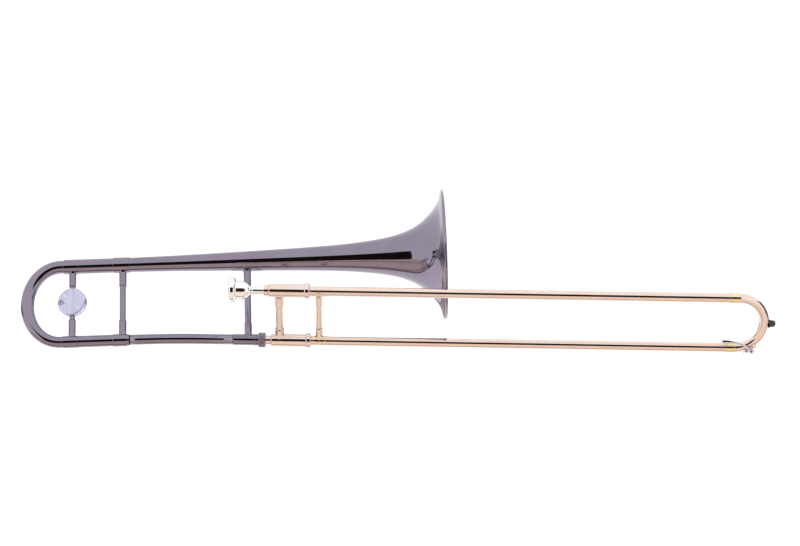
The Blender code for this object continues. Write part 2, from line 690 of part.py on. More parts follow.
def make_outer_slide(slide):
    for side, height in (("lower", 0.0), ("upper", SLIDE_SPACING)):
        outer = [(OUTER_START, SLEEVE_R - 0.2), (OUTER_START + 0.5, SLEEVE_R),
                 (SLEEVE_END - 0.5, SLEEVE_R), (SLEEVE_END, OUTER_R), (OUTER_END, OUTER_R)]
        inner = [(OUTER_START, OUTER_BORE_R), (OUTER_END, OUTER_BORE_R)]
        turned(side + "_outer_tube", outer, inner, "rose_lacquer", slide, along_x(height),
               SMALL_ROUND)
        ferrule(side + "_bow_ferrule", BOW_FERRULE, BOW_FERRULE_R, BOW_R + 0.35, "yellow_brass",
                slide, height, SMALL_ROUND)
    stud_place = Matrix.Translation(((BARREL_END + 4.2) * MM, 0.0, 0.0))
    rod("slide_lock_stud", (SLEEVE_R + FIT, 9.9), 1.1, "yellow_brass", slide,
        stud_place @ Matrix.Rotation(-math.pi / 2, 4, "X"), 12)
    make_slide_brace(slide)
    make_slide_bow(slide)


def make_slide_brace(slide):
    """Outer brace: rod, two sockets and the two curved saddles that hold them to the tubes."""
    x = SLIDE_BRACE["x"]
    plate = 0.55
    saddle_in = OUTER_R + FIT
    clear = saddle_in + plate + FIT
    low = leg_cutter("cut_slide_low", slide, 0.0, clear, x)
    high = leg_cutter("cut_slide_high", slide, SLIDE_SPACING, clear, x)
    make_brace("slide_brace", SLIDE_BRACE, (0.0, low), (SLIDE_SPACING, high), "rose_lacquer", slide)
    for side, height, reach in (("lower", 0.0, (-1.5, 12.0)),
                                ("upper", SLIDE_SPACING, (-12.0, 1.5))):
        name = "slide_brace_" + side + "_saddle"
        item = tube(name, (x - 13.0, x + 13.0), saddle_in + plate, saddle_in, "yellow_brass",
                    slide, height, 24)
        outline = [(x + u, v) for u, v in ellipse(24.0, 2.0 * clear + 1.2, 20)]
        keep = slab("keep_" + side + "_saddle", outline, height + reach[0], height + reach[1],
                    None, slide)
        combine(item, keep, "INTERSECT")


def bow_point(turn):
    """Point on the bow's centre line, a half ellipse that starts on the lower tube."""
    rise = 0.5 * SLIDE_SPACING * (1.0 - math.cos(turn))
    return (BOW_CENTRE_X + BOW_DEPTH * math.sin(turn), 0.0, rise)


def bow_path():
    """U-shaped centre line between the two outer tubes."""
    count = 12
    bend = [bow_point(math.pi * i / count) for i in range(count + 1)]
    return [(BOW_START, 0.0, 0.0)] + bend + [(BOW_START, 0.0, SLIDE_SPACING)]


def make_slide_bow(slide):
    path = bow_path()
    bow = bent_tube("slide_bow", path, [BOW_R] * len(path), BOW_WALL, "rose_lacquer", slide)
    clear = swept("cut_bow", path, [BOW_R + FIT] * len(path), None, slide, True, 24)

    tip = BOW_CENTRE_X + BOW_DEPTH + BOW_R
    middle = along_x(0.5 * SLIDE_SPACING)
    outer = [(tip - 4.0, 6.4), (tip + 2.4, 6.4), (tip + 3.2, 5.7)]
    socket = turned("bow_knob_socket", outer, [(tip - 4.0, 3.4), (tip + 3.2, 3.4)],
                    "black_rubber", slide, middle)
    combine(socket, clear, "DIFFERENCE")
    outer = [(tip + 1.2, 3.0), (tip + 3.6, 3.0), (tip + 3.6, 5.2), (tip + 6.4, 5.2),
             (tip + 8.4, 4.6), (tip + 9.7, 3.3), (tip + 10.0, 2.6)]
    turned("rubber_bumper", outer, [], "black_rubber", slide, middle)
    make_water_key(slide, bow, clear)


# ---------------------------------------------------------------- water key

def key_frame():
    """Axes on the bow's centre line at the key: X along the bow, Y outwards, Z to the back."""
    bend = math.radians(KEY_BEND)
    place = Vector(bow_point(bend))
    along = Vector((BOW_DEPTH * math.cos(bend), 0.0, 0.5 * SLIDE_SPACING * math.sin(bend)))
    along.normalize()
    outwards = Vector((along.z, 0.0, -along.x))
    back = along.cross(outwards)
    axes = Matrix((along, outwards, back)).transposed().to_4x4()
    return Matrix.Translation(place * MM) @ axes


def leaning(lean):
    """Placement whose local Z points from the bow's centre line out through its surface.

    A lean of 0 points to the bow's front and a lean of 90 to its outside.
    """
    return Matrix.Rotation(math.radians(lean) - math.pi, 4, "X")


def make_water_key(slide, bow, bow_cutter):
    base = make_frame("water_key_seat", key_frame(), slide)
    hinge_place = leaning(KEY_HINGE_LEAN) @ Matrix.Translation((0.0, 0.0, KEY_HINGE_OUT * MM))
    hinge = make_frame("water_key_hinge", hinge_place, base)
    drain = rod("cut_drain", (4.0, 12.0), 1.3, None, base, leaning(NIPPLE_LEAN), 12)
    combine(bow, drain, "DIFFERENCE")

    outer = [(6.6, 3.4), (8.4, 3.4), (8.7, 2.5), (NIPPLE_TOP, 2.3)]
    nipple = turned("water_key_nipple", outer, [(6.6, 1.5), (NIPPLE_TOP, 1.5)], "yellow_brass",
                    base, leaning(NIPPLE_LEAN), SMALL_ROUND)
    combine(nipple, bow_cutter, "DIFFERENCE")

    across = Matrix.Rotation(math.pi / 2, 4, "Y")
    bore = rod("cut_key_bore", (-12.0, 12.0), KEY_PIN_R + FIT, None, hinge, across, 12)
    for side, sign in (("left", -1.0), ("right", 1.0)):
        outline = [(-2.9, 0.0), (-2.4, 5.6)] + [
            (2.4 * math.cos(t), 5.6 + 6.0 + 2.4 * math.sin(t))
            for t in (math.radians(a) for a in (180.0, 135.0, 90.0, 45.0, 0.0))
        ] + [(2.4, 5.6), (2.9, 0.0)]
        foot = KEY_HINGE_OUT - 11.6
        stand = (leaning(KEY_HINGE_LEAN) @ Matrix.Translation((0.0, 0.0, foot * MM))
                 @ Matrix.Rotation(math.pi / 2, 4, "Z") @ Matrix.Rotation(math.pi / 2, 4, "X"))
        at = sign * KEY_POST_AT
        post = slab("water_key_" + side + "_post", outline, at - 0.9, at + 0.9, "yellow_brass",
                    base, stand)
        combine(post, bow_cutter, "DIFFERENCE")
        combine(post, bore, "DIFFERENCE")
    rod("water_key_pin", (-11.2, 11.2), KEY_PIN_R, "nickel_silver", hinge, across, 12)
    make_key_lever(hinge, base, across, bore)
    make_key_spring(hinge)


def lever_path():
    """Centre line of the lever in slide-plane axes: finger end, over the tube, to the cup."""
    return [(727.0, -5.6, 13.4), (737.0, -5.8, 13.6), (745.0, -7.4, 13.8), (752.0, -10.6, 13.4),
            (758.5, -13.4, 10.6), (764.6, -14.2, 4.6), (768.6, -12.6, -1.6)]


def make_key_lever(hinge, base, across, bore):
    """Finger plate, arm, hinge barrel and cork cup, joined into one piece."""
    slide = base.parent
    knob = leaning(NIPPLE_LEAN)
    outer = [(13.0, 3.4), (12.0, 3.4), (12.0, 3.9), (14.4, 3.9), (15.4, 2.6)]
    cup = turned("join_key_cup", outer, [], None, base, knob, SMALL_ROUND)
    barrel = rod("join_key_barrel", (-KEY_BARREL_HALF, KEY_BARREL_HALF), KEY_BARREL_R, None,
                 hinge, across, SMALL_ROUND)
    cup_top = slide.matrix_world.inverted() @ (base.matrix_world @ knob @ Vector((0, 0, 14.7 * MM)))
    knots = lever_path() + [tuple(cup_top / MM)]
    path = smooth(knots, 2)
    arm = swept("join_key_arm", path, [1.25] * len(path), None, slide, True, 8)
    plate_at = Matrix.Translation((730.5 * MM, -5.6 * MM, 13.4 * MM))
    tilt = Matrix.Rotation(math.radians(68.0), 4, "X")
    lever = slab("water_key_lever", rounded_plate(15.0, 7.0), -0.7, 0.7, "nickel_silver", slide,
                 plate_at @ tilt)
    combine(lever, arm, "UNION")
    combine(lever, barrel, "UNION")
    combine(lever, cup, "UNION")
    combine(lever, bore, "DIFFERENCE")
    rod("water_key_cork", (NIPPLE_TOP + FIT, 12.7), 3.1, "cork", base, knob, SMALL_ROUND)


def rounded_plate(length, width):
    """Finger plate: a rectangle with rounded corners."""
    corner = 0.3 * width
    half_l, half_w = 0.5 * length - corner, 0.5 * width - corner
    outline = []
    for centre, start in (((half_l, half_w), 0.0), ((-half_l, half_w), 90.0),
                          ((-half_l, -half_w), 180.0), ((half_l, -half_w), 270.0)):
        for turn in (0.0, 45.0, 90.0):
            angle = math.radians(start + turn)
            outline.append((centre[0] + corner * math.cos(angle),
                            centre[1] + corner * math.sin(angle)))
    return outline


def make_key_spring(hinge):
    """Torsion spring wound round the hinge barrel beside the lever."""
    coil_r, wire_r, turns, per_turn = KEY_BARREL_R + 1.0, 0.35, 3, 10
    start, end = -6.4, -3.2
    path = []
    for i in range(turns * per_turn + 1):
        share = i / (turns * per_turn)
        angle = 2.0 * math.pi * turns * share
        path.append((start + share * (end - start), coil_r * math.cos(angle),
                     coil_r * math.sin(angle)))
    swept("water_key_spring", path, [wire_r] * len(path), "spring_steel", hinge, True, 6)


# ---------------------------------------------------------------- whole instrument

def main():
    clear_scene()
    make_collection(PARTS)
    make_collection(CUTTERS)
    for finish in FINISHES:
        make_material(finish)
    slide = make_frame("slide_frame", Matrix.Rotation(math.radians(SLIDE_LEAN), 4, "X"))
    bell_frame = make_frame("bell_frame", Matrix.Rotation(math.radians(-BELL_LEAN), 4, "X"))
    rake = Matrix.Rotation(math.radians(-LEG_RAKE), 4, "Y")
    legs = make_frame("leg_frame", rake, bell_frame)
    bpy.context.view_layer.update()

    make_bell(legs)
    make_tuning_sleeves(legs)
    make_gooseneck(bell_frame)
    make_bell_braces(legs, bell_frame)
    make_tuning_slide(legs)
    make_weight(legs)
    make_inner_slide(slide)
    make_lock_ring(slide)
    make_lock_nut(slide)
    make_mouthpiece(slide)
    make_grip_brace(slide)
    make_outer_slide(slide)
    bpy.context.view_layer.update()


main()
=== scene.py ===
"""Looks of a straight tenor trombone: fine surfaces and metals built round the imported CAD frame.

Lengths here are millimetres, and MM turns them into metres where a mesh is made. Each piece is laid
out in its own axes, and a turned piece turns round its own Z. Where a CAD node is a turned shape its
outline is read off the frame, then its corners are rounded and it is turned again with fine steps.
"""

import json
import math

import bmesh
import bpy
from mathutils import Matrix, Vector


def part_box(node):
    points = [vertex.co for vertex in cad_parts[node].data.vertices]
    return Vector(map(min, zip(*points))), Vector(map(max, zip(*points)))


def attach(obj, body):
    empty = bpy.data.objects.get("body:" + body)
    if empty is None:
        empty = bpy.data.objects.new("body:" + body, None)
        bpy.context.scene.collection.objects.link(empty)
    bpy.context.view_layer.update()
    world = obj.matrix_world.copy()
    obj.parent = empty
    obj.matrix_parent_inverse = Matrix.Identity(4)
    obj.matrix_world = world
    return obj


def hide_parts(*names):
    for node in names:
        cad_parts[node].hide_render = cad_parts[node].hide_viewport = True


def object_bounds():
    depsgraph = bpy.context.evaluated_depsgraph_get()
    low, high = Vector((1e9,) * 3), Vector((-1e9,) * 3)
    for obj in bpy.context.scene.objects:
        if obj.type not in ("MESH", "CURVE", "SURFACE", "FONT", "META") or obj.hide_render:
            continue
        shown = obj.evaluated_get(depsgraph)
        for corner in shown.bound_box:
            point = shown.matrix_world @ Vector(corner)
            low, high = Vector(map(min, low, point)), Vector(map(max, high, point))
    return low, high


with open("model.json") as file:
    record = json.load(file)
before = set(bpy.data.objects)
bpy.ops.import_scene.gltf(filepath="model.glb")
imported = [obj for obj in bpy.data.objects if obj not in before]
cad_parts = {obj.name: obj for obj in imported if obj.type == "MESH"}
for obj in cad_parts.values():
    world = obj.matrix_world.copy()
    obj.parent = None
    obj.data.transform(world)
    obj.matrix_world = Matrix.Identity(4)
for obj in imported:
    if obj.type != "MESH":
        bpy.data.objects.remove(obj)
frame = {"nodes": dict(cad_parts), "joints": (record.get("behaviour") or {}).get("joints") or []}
cad_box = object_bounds()
finishes = {}              # the materials made here, by the record's slot names

MM = 0.001
ACROSS = 0.05              # how far off a plane a CAD corner may be and still lie in it, in mm
SMALL_STEPS = 56           # faces round a small piece, a tube, and the bell
TUBE_STEPS = 80
BELL_STEPS = 208

# Sizes of the bent tubes, which the frame holds only as facets.
SLIDE_BOW_R = 7.4
SLIDE_BOW_WALL = 0.6
SLIDE_BOW_STRAIGHT = 6.1
TUNING_BOW_LOW_R = 8.75
TUNING_BOW_HIGH_R = 10.3
TUNING_BOW_STRAIGHT = 16.6
TUNING_BOW_WALL = 0.55
GOOSENECK_R = 8.0
GOOSENECK_WALL = 0.5
GOOSENECK_BEND = 50.0
FLAT_PATH = Vector((0.0, 1.0, 0.0))


# ---------------------------------------------------------------- axes read from the frame

def middle(node):
    low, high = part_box(node)
    return (low + high) / 2


def joint_axis(name):
    return next(Vector(j["axis"]) for j in frame["joints"] if j["name"] == name)


def joint_place(name):
    return next(Vector(j["pos_m"]) for j in frame["joints"] if j["name"] == name)


upper_tube = middle("upper_outer_tube")
SLIDE_SPACING = math.hypot(upper_tube.y, upper_tube.z) / MM
SLIDE_LEAN = math.atan2(-upper_tube.y, upper_tube.z)
leg_line = -joint_axis("tuning_slide_pull")
BELL_LEAN = math.atan2(leg_line.y, leg_line.z)
LEG_RAKE = math.asin(math.hypot(leg_line.y, leg_line.z))

SLIDE = Matrix.Rotation(SLIDE_LEAN, 4, "X")
BELL = Matrix.Rotation(-BELL_LEAN, 4, "X")
LEGS = BELL @ Matrix.Rotation(-LEG_RAKE, 4, "Y")


def lift(x=0.0, y=0.0, z=0.0):
    return Matrix.Translation(Vector((x, y, z)) * MM)


def along_x(height=0.0):
    """Axes of a piece turned round a line along X, at a height above it."""
    return lift(z=height) @ Matrix.Rotation(math.pi / 2, 4, "Y")


def corners(node, place):
    """A CAD node's corners in a piece's own axes, in mm."""
    to_local = place.inverted()
    return [(to_local @ v.co) / MM for v in frame["nodes"][node].data.vertices]


def reach(node, place):
    """Lowest and highest height of a CAD node along a piece's own Z, and its greatest radius."""
    spots = corners(node, place)
    heights = [p.z for p in spots]
    return min(heights), max(heights), max(math.hypot(p.x, p.y) for p in spots)


def leg_height(node):
    """Height of a tube above the X axis, measured across the legs."""
    spots = corners(node, LEGS)
    return 0.5 * (min(p.z for p in spots) + max(p.z for p in spots))


LEG_LOW = leg_height("lower_slide_sleeve")
LEG_HIGH = leg_height("upper_slide_sleeve")
ON_LOW_TUBE = SLIDE @ along_x()
ON_HIGH_TUBE = SLIDE @ along_x(SLIDE_SPACING)
ON_LOW_LEG = LEGS @ along_x(LEG_LOW)
ON_HIGH_LEG = LEGS @ along_x(LEG_HIGH)


# ---------------------------------------------------------------- outlines

def cad_outline(node, place):
    """The outline (height, radius) of a turned CAD node, and whether it closes on itself."""
    spots = corners(node, place)
    links = {}
    for edge in frame["nodes"][node].data.edges:
        ends = [spots[i] for i in edge.vertices]
        if all(abs(p.y) < ACROSS and p.x > -ACROSS for p in ends):
            a, b = ((round(p.z, 3), round(abs(p.x), 3)) for p in ends)
            if a != b:
                links.setdefault(a, set()).add(b)
                links.setdefault(b, set()).add(a)
    ends = sorted(spot for spot, near in links.items() if len(near) == 1)
    chains, seen = [], set()
    for start in ends or [min(links)]:
        if start in seen:
            continue
        chain = [start]
        seen.add(start)
        while True:
            onward = sorted(n for n in links[chain[-1]] if n not in seen)
            if not onward:
                break
            chain.append(onward[0])
            seen.add(onward[0])
        chains.append(chain)
    line = chains[0]
    for chain in chains[1:]:
        if abs(chain[0][0] - line[-1][0]) > abs(chain[-1][0] - line[-1][0]):
            chain = chain[::-1]
        line = line + chain
    closed = len(chains) > 1 or not ends
    if not closed and line[0][1] > 0.0:
        line = [(line[0][0], 0.0)] + line + [(line[-1][0], 0.0)]
    return [Vector(p) for p in line], closed


def turn_at(before, here, after):
    """How sharply a line turns at a point, in degrees."""
    first, second = here - before, after - here
    if first.length < 1e-6 or second.length < 1e-6:
        return 0.0
    return math.degrees(first.angle(second))


def curve_through(points):
    """Centripetal Catmull-Rom curve through 2D points, with short spans where it bends."""
    if len(points) == 2:
        return list(points)
    places = [2 * points[0] - points[1]] + list(points) + [2 * points[-1] - points[-2]]
    result = []
    for p0, p1, p2, p3 in zip(places, places[1:], places[2:], places[3:]):
        bend = max(turn_at(p0, p1, p2), turn_at(p1, p2, p3))
        count = max(1, min(12, math.ceil(bend / 2.5)))
        t1 = math.sqrt((p1 - p0).length)
        t2 = t1 + math.sqrt((p2 - p1).length)
        t3 = t2 + math.sqrt((p3 - p2).length)
        for i in range(count):
            t = t1 + (t2 - t1) * i / count
            a1 = p0 * ((t1 - t) / t1) + p1 * (t / t1)
            a2 = p1 * ((t2 - t) / (t2 - t1)) + p2 * ((t - t1) / (t2 - t1))
            a3 = p2 * ((t3 - t) / (t3 - t2)) + p3 * ((t - t2) / (t3 - t2))
            b1 = a1 * ((t2 - t) / t2) + a2 * (t / t2)
            b2 = a2 * ((t3 - t) / (t3 - t1)) + a3 * ((t - t1) / (t3 - t1))
            result.append(b1 * ((t2 - t) / (t2 - t1)) + b2 * ((t - t1) / (t2 - t1)))
    result.append(points[-1])
    return result


def rounded_corner(before, corner, after, fillet):
    """Points that round one corner off, with a support point on each side to hold the shading."""
    arm_in, arm_out = corner - before, after - corner
    angle = math.radians(turn_at(before, corner, after))
    cut = min(fillet * math.tan(min(angle, 2.6) / 2), 0.42 * arm_in.length, 0.42 * arm_out.length)
    start = corner - arm_in.normalized() * cut
    end = corner + arm_out.normalized() * cut
    count = max(2, math.ceil(math.degrees(angle) / 15.0))
    points = []
    for i in range(count + 1):
        t = i / count
        points.append(start * (1 - t) ** 2 + corner * (2 * t * (1 - t)) + end * t * t)
    hold_in = min(0.3, 0.3 * (arm_in.length - cut))
    hold_out = min(0.3, 0.3 * (arm_out.length - cut))
    return ([start - arm_in.normalized() * hold_in] + points
            + [end + arm_out.normalized() * hold_out])


def with_supports(points, closed):
    """Add points close to the ends of long straight spans, so that smoothing keeps them straight."""
    longest_ratio = 4.0
    spans = list(zip(points, points[1:] + points[:1]))
    if not closed:
        spans.pop()
    lengths = [(b - a).length for a, b in spans]
    result = []
    for i, (a, b) in enumerate(spans):
        result.append(a)
        ahead = (b - a).normalized()
        before = lengths[i - 1] if closed or i else lengths[i]
        after = lengths[(i + 1) % len(spans)] if closed or i + 1 < len(spans) else lengths[i]
        if lengths[i] > longest_ratio * before:
            result.append(a + ahead * before)
        if lengths[i] > longest_ratio * after:
            result.append(b - ahead * after)
    if not closed:
        result.append(points[-1])
    return result


def fine_outline(points, closed, fillet=0.3, soft=22.0):
    """Smooth a line where it turns by less than soft degrees, and round its sharper corners."""
    points = with_supports([Vector(p) for p in points], closed)
    count = len(points)
    sharp = [i for i in range(count)
             if (not closed and i in (0, count - 1))
             or turn_at(points[i - 1], points[i], points[(i + 1) % count]) >= soft]
    if closed:
        points = points[sharp[0]:] + points[:sharp[0]] + [points[sharp[0]]]
        sharp = [i - sharp[0] for i in sharp] + [count]
    runs = [curve_through(points[a:b + 1]) for a, b in zip(sharp, sharp[1:])]
    result = []
    for i, run in enumerate(runs):
        if closed or i:
            result += rounded_corner(runs[i - 1][-2], run[0], run[1], fillet)
        else:
            result.append(run[0])
        result += run[1:-1]
    if not closed:
        result.append(runs[-1][-1])
    return result


# ---------------------------------------------------------------- mesh making

def finish_piece(name, mesh_data, place, body, slot_name, nodes):
    """Make the object, clean and shade its mesh, and hand it to the frame."""
    mesh = bpy.data.meshes.new(name)
    mesh_data.to_mesh(mesh)
    mesh_data.free()
    for face in mesh.polygons:
        face.use_smooth = True
    item = bpy.data.objects.new(name, mesh)
    bpy.context.scene.collection.objects.link(item)
    item.matrix_world = place
    mesh.materials.append(finishes[slot_name])
    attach(item, body)
    if nodes:
        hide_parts(*nodes)
    return item


def ring_mesh(rings, closed_along):
    """Skin a list of equal rings of points (mm). A ring of one point is a pole."""
    mesh = bmesh.new()
    rows = [[mesh.verts.new(Vector(p) * MM) for p in ring] for ring in rings]
    pairs = list(zip(rows, rows[1:]))
    if closed_along:
        pairs.append((rows[-1], rows[0]))
    for low, high in pairs:
        count = max(len(low), len(high))
        for i in range(count):
            a, b = low[i % len(low)], low[(i + 1) % len(low)]
            c, d = high[(i + 1) % len(high)], high[i % len(high)]
            corner_list = [v for j, v in enumerate((a, b, c, d)) if v not in (a, b, c, d)[:j]]
            if len(corner_list) > 2:
                mesh.faces.new(corner_list)
    if not closed_along:
        for row in (rows[0], rows[-1]):
            if len(row) > 2:
                mesh.faces.new(row)
    bmesh.ops.recalc_face_normals(mesh, faces=mesh.faces)
    return mesh


def turned_rings(outline, steps, shape=None):
    """Rings of a turned outline. shape(x, y, z) may move each point."""
    rings = []
    for height, radius in outline:
        if radius < 1e-4:
            ring = [(0.0, 0.0, height)]
        else:
            ring = [(radius * math.cos(2 * math.pi * i / steps),
                     radius * math.sin(2 * math.pi * i / steps), height) for i in range(steps)]
        rings.append([shape(*p) for p in ring] if shape else ring)
    return rings


def turned(name, outline, closed, place, body, slot_name, nodes, steps=TUBE_STEPS, shape=None):
    data = ring_mesh(turned_rings(outline, steps, shape), closed)
    return finish_piece(name, data, place, body, slot_name, nodes)


def refined(node, place, body, slot_name, fillet=0.3, soft=22.0, steps=TUBE_STEPS, spin=0.0):
    """Turn a CAD node's own outline again, smooth and with rounded corners."""
    outline, closed = cad_outline(node, place)
    line = fine_outline(outline, closed, fillet, soft)
    place = place @ Matrix.Rotation(spin, 4, "Z")
    return turned("fine_" + node, line, closed, place, body, slot_name, [node], steps)


def swept_rings(path, sizes, sides, up=None):
    """Rings round a path. sizes holds (across, through) half sizes; up fixes the section's turn."""
    rings = []
    last = len(path) - 1
    across = None
    for i, (spot, (wide, thick)) in enumerate(zip(path, sizes)):
        ahead = (path[min(i + 1, last)] - path[max(i - 1, 0)]).normalized()
        if up is not None:
            across = up.cross(ahead).normalized()
        elif across is None:
            across = ahead.orthogonal().normalized()
        else:
            across = (across - ahead * across.dot(ahead)).normalized()
        through = ahead.cross(across)
        ring = []
        for j in range(sides):
            angle = 2 * math.pi * j / sides
            ring.append(spot + across * (wide * math.cos(angle)) + through * (thick * math.sin(angle)))
        rings.append(ring)
    return rings


def pipe(name, path, radii, wall, place, body, slot_name, nodes):
    """An open tube with a bore, along a path in its piece's own XZ plane."""
    outer = swept_rings(path, [(r, r) for r in radii], TUBE_STEPS, FLAT_PATH)
    inner = swept_rings(path, [(r - wall, r - wall) for r in radii], TUBE_STEPS, FLAT_PATH)
    data = ring_mesh(outer + inner[::-1], True)
    return finish_piece(name, data, place, body, slot_name, nodes)


def cut(item, cutter_mesh, place):
    """Take a closed shape out of a piece and keep the result as its mesh."""
    mesh = bpy.data.meshes.new("cutter")
    cutter_mesh.to_mesh(mesh)
    cutter_mesh.free()
    cutter = bpy.data.objects.new("cutter", mesh)
    bpy.context.scene.collection.objects.link(cutter)
    cutter.matrix_world = place
    step = item.modifiers.new("cut", "BOOLEAN")
    step.operation = "DIFFERENCE"
    step.object = cutter
    bpy.context.view_layer.update()
    result = bpy.data.meshes.new_from_object(item.evaluated_get(bpy.context.evaluated_depsgraph_get()))
    item.modifiers.remove(step)
    item.data = result
    bpy.data.objects.remove(cutter)
    for face in result.polygons:
        face.use_smooth = True
    result.set_sharp_from_angle(angle=math.radians(25))
    if not item.modifiers:
        item.modifiers.new("normals", "WEIGHTED_NORMAL").keep_sharp = True


def cylinder_mesh(low, high, radius, steps=48):
    return ring_mesh(turned_rings([(low, 0.0), (low, radius), (high, radius), (high, 0.0)], steps),
                     False)


# ---------------------------------------------------------------- materials

def noise(tree, coordinates, stretch, detail, roughness=0.6):
    """Noise of a stretched grain: stretch is how many grains there are per metre along each axis."""
    grain = tree.nodes.new("ShaderNodeMapping")
    grain.inputs["Scale"].default_value = stretch
    tree.links.new(coordinates, grain.inputs["Vector"])
    texture = tree.nodes.new("ShaderNodeTexNoise")
    texture.inputs["Scale"].default_value = 1.0
    texture.inputs["Detail"].default_value = detail
    texture.inputs["Roughness"].default_value = roughness
    tree.links.new(grain.outputs["Vector"], texture.inputs["Vector"])
    return texture.outputs["Fac"]


def remap(tree, value, from_low, from_high, to_low, to_high):
    step = tree.nodes.new("ShaderNodeMapRange")
    for key, number in (("From Min", from_low), ("From Max", from_high),
                        ("To Min", to_low), ("To Max", to_high)):
        step.inputs[key].default_value = number
    tree.links.new(value, step.inputs["Value"])
    return step.outputs["Result"]


def blend_colors(tree, share, first, second):
    step = tree.nodes.new("ShaderNodeMix")
    step.data_type = "RGBA"
    tree.links.new(share, step.inputs["Factor"])
    for key, color in (("A", first), ("B", second)):
        entry = [s for s in step.inputs if s.name == key and s.type == "RGBA"][0]
        if isinstance(color, bpy.types.NodeSocket):
            tree.links.new(color, entry)
        else:
            entry.default_value = (*color, 1.0)
    return [s for s in step.outputs if s.type == "RGBA"][0]


def combine_values(tree, operation, first, second):
    step = tree.nodes.new("ShaderNodeMath")
    step.operation = operation
    tree.links.new(first, step.inputs[0])
    if isinstance(second, float):
        step.inputs[1].default_value = second
    else:
        tree.links.new(second, step.inputs[1])
    return step.outputs["Value"]


POLISH_DEPTH = 0.0000002     # depth of the grain, in metres
BRUSH_DEPTH = 0.0000004


def start_material(name):
    material = bpy.data.materials.new("fine_" + name)
    material.use_nodes = True
    finishes[name] = material
    tree = material.node_tree
    shader = tree.nodes["Principled BSDF"]
    coordinates = tree.nodes.new("ShaderNodeTexCoord").outputs["Object"]
    return tree, shader, coordinates


def add_bump(tree, shader, height, depth, strength):
    step = tree.nodes.new("ShaderNodeBump")
    step.inputs["Strength"].default_value = strength
    step.inputs["Distance"].default_value = depth
    tree.links.new(height, step.inputs["Height"])
    tree.links.new(step.outputs["Normal"], shader.inputs["Normal"])


def polished_metal(name, color, shade, stain, gloss, wear, lacquer=0.0):
    """Plated or lacquered metal: cloudy tint, handling haze, fine polishing lines and worn edges.

    color and shade are the clean tint and its cloudy variation, and stain is the tint of the small
    spots. gloss is (clean, hazy) roughness. The lines run along the piece's own Z.
    """
    tree, shader, coordinates = start_material(name)
    shader.inputs["Metallic"].default_value = 1.0
    shader.inputs["Coat Weight"].default_value = lacquer
    shader.inputs["Coat Roughness"].default_value = 0.04
    shader.inputs["Coat IOR"].default_value = 1.5

    clouds = noise(tree, coordinates, (22.0, 22.0, 22.0), 4.0)
    tint = blend_colors(tree, remap(tree, clouds, 0.35, 0.68, 0.0, 1.0), color, shade)
    spots = noise(tree, coordinates, (420.0, 420.0, 420.0), 3.0)
    patches = noise(tree, coordinates, (46.0, 46.0, 46.0), 3.0)
    spotting = combine_values(tree, "MULTIPLY", remap(tree, spots, 0.64, 0.74, 0.0, 0.55),
                              remap(tree, patches, 0.45, 0.7, 0.0, 1.0))
    tint = blend_colors(tree, spotting, tint, stain)
    edges = tree.nodes.new("ShaderNodeNewGeometry").outputs["Pointiness"]
    edge_wear = remap(tree, edges, 0.53, 0.6, 0.0, 0.5)
    tint = blend_colors(tree, edge_wear, tint, wear)
    tree.links.new(tint, shader.inputs["Base Color"])

    lines = noise(tree, coordinates, (260.0, 260.0, 9.0), 6.0, 0.7)
    haze = noise(tree, coordinates, (75.0, 75.0, 75.0), 6.0, 0.7)
    clean, hazy = gloss
    rough = remap(tree, haze, 0.42, 0.75, clean, hazy)
    rough = combine_values(tree, "ADD", rough, remap(tree, lines, 0.4, 0.75, 0.0, 0.35 * hazy))
    tree.links.new(rough, shader.inputs["Roughness"])
    add_bump(tree, shader, lines, POLISH_DEPTH, 0.35)


def brushed_metal(name, color, shade, gloss, grain):
    """Satin metal with lines all one way."""
    tree, shader, coordinates = start_material(name)
    shader.inputs["Metallic"].default_value = 1.0
    clouds = noise(tree, coordinates, (60.0, 60.0, 60.0), 4.0)
    lines = noise(tree, coordinates, grain, 4.0, 0.6)
    share = combine_values(tree, "MULTIPLY", remap(tree, clouds, 0.3, 0.7, 0.4, 1.0),
                           remap(tree, lines, 0.35, 0.7, 0.0, 1.0))
    tint = blend_colors(tree, share, color, shade)
    edges = tree.nodes.new("ShaderNodeNewGeometry").outputs["Pointiness"]
    tint = blend_colors(tree, remap(tree, edges, 0.53, 0.62, 0.0, 0.6), tint, (0.93, 0.93, 0.95))
    tree.links.new(tint, shader.inputs["Base Color"])
    clean, hazy = gloss
    tree.links.new(remap(tree, lines, 0.3, 0.7, clean, hazy), shader.inputs["Roughness"])
    add_bump(tree, shader, lines, BRUSH_DEPTH, 0.5)


def soft_material(name, color, shade, gloss, scale, depth, sheen=0.0):
    """Rubber, cork or felt: mottled colour and a grainy surface."""
    tree, shader, coordinates = start_material(name)
    shader.inputs["Metallic"].default_value = 0.0
    shader.inputs["Sheen Weight"].default_value = sheen
    clouds = noise(tree, coordinates, (scale, scale, scale), 6.0, 0.7)
    tree.links.new(blend_colors(tree, remap(tree, clouds, 0.35, 0.65, 0.0, 1.0), color, shade),
                   shader.inputs["Base Color"])
    grain = noise(tree, coordinates, (4 * scale, 4 * scale, 4 * scale), 4.0)
    clean, hazy = gloss
    tree.links.new(remap(tree, grain, 0.3, 0.7, clean, hazy), shader.inputs["Roughness"])
    add_bump(tree, shader, grain, depth, 0.6)


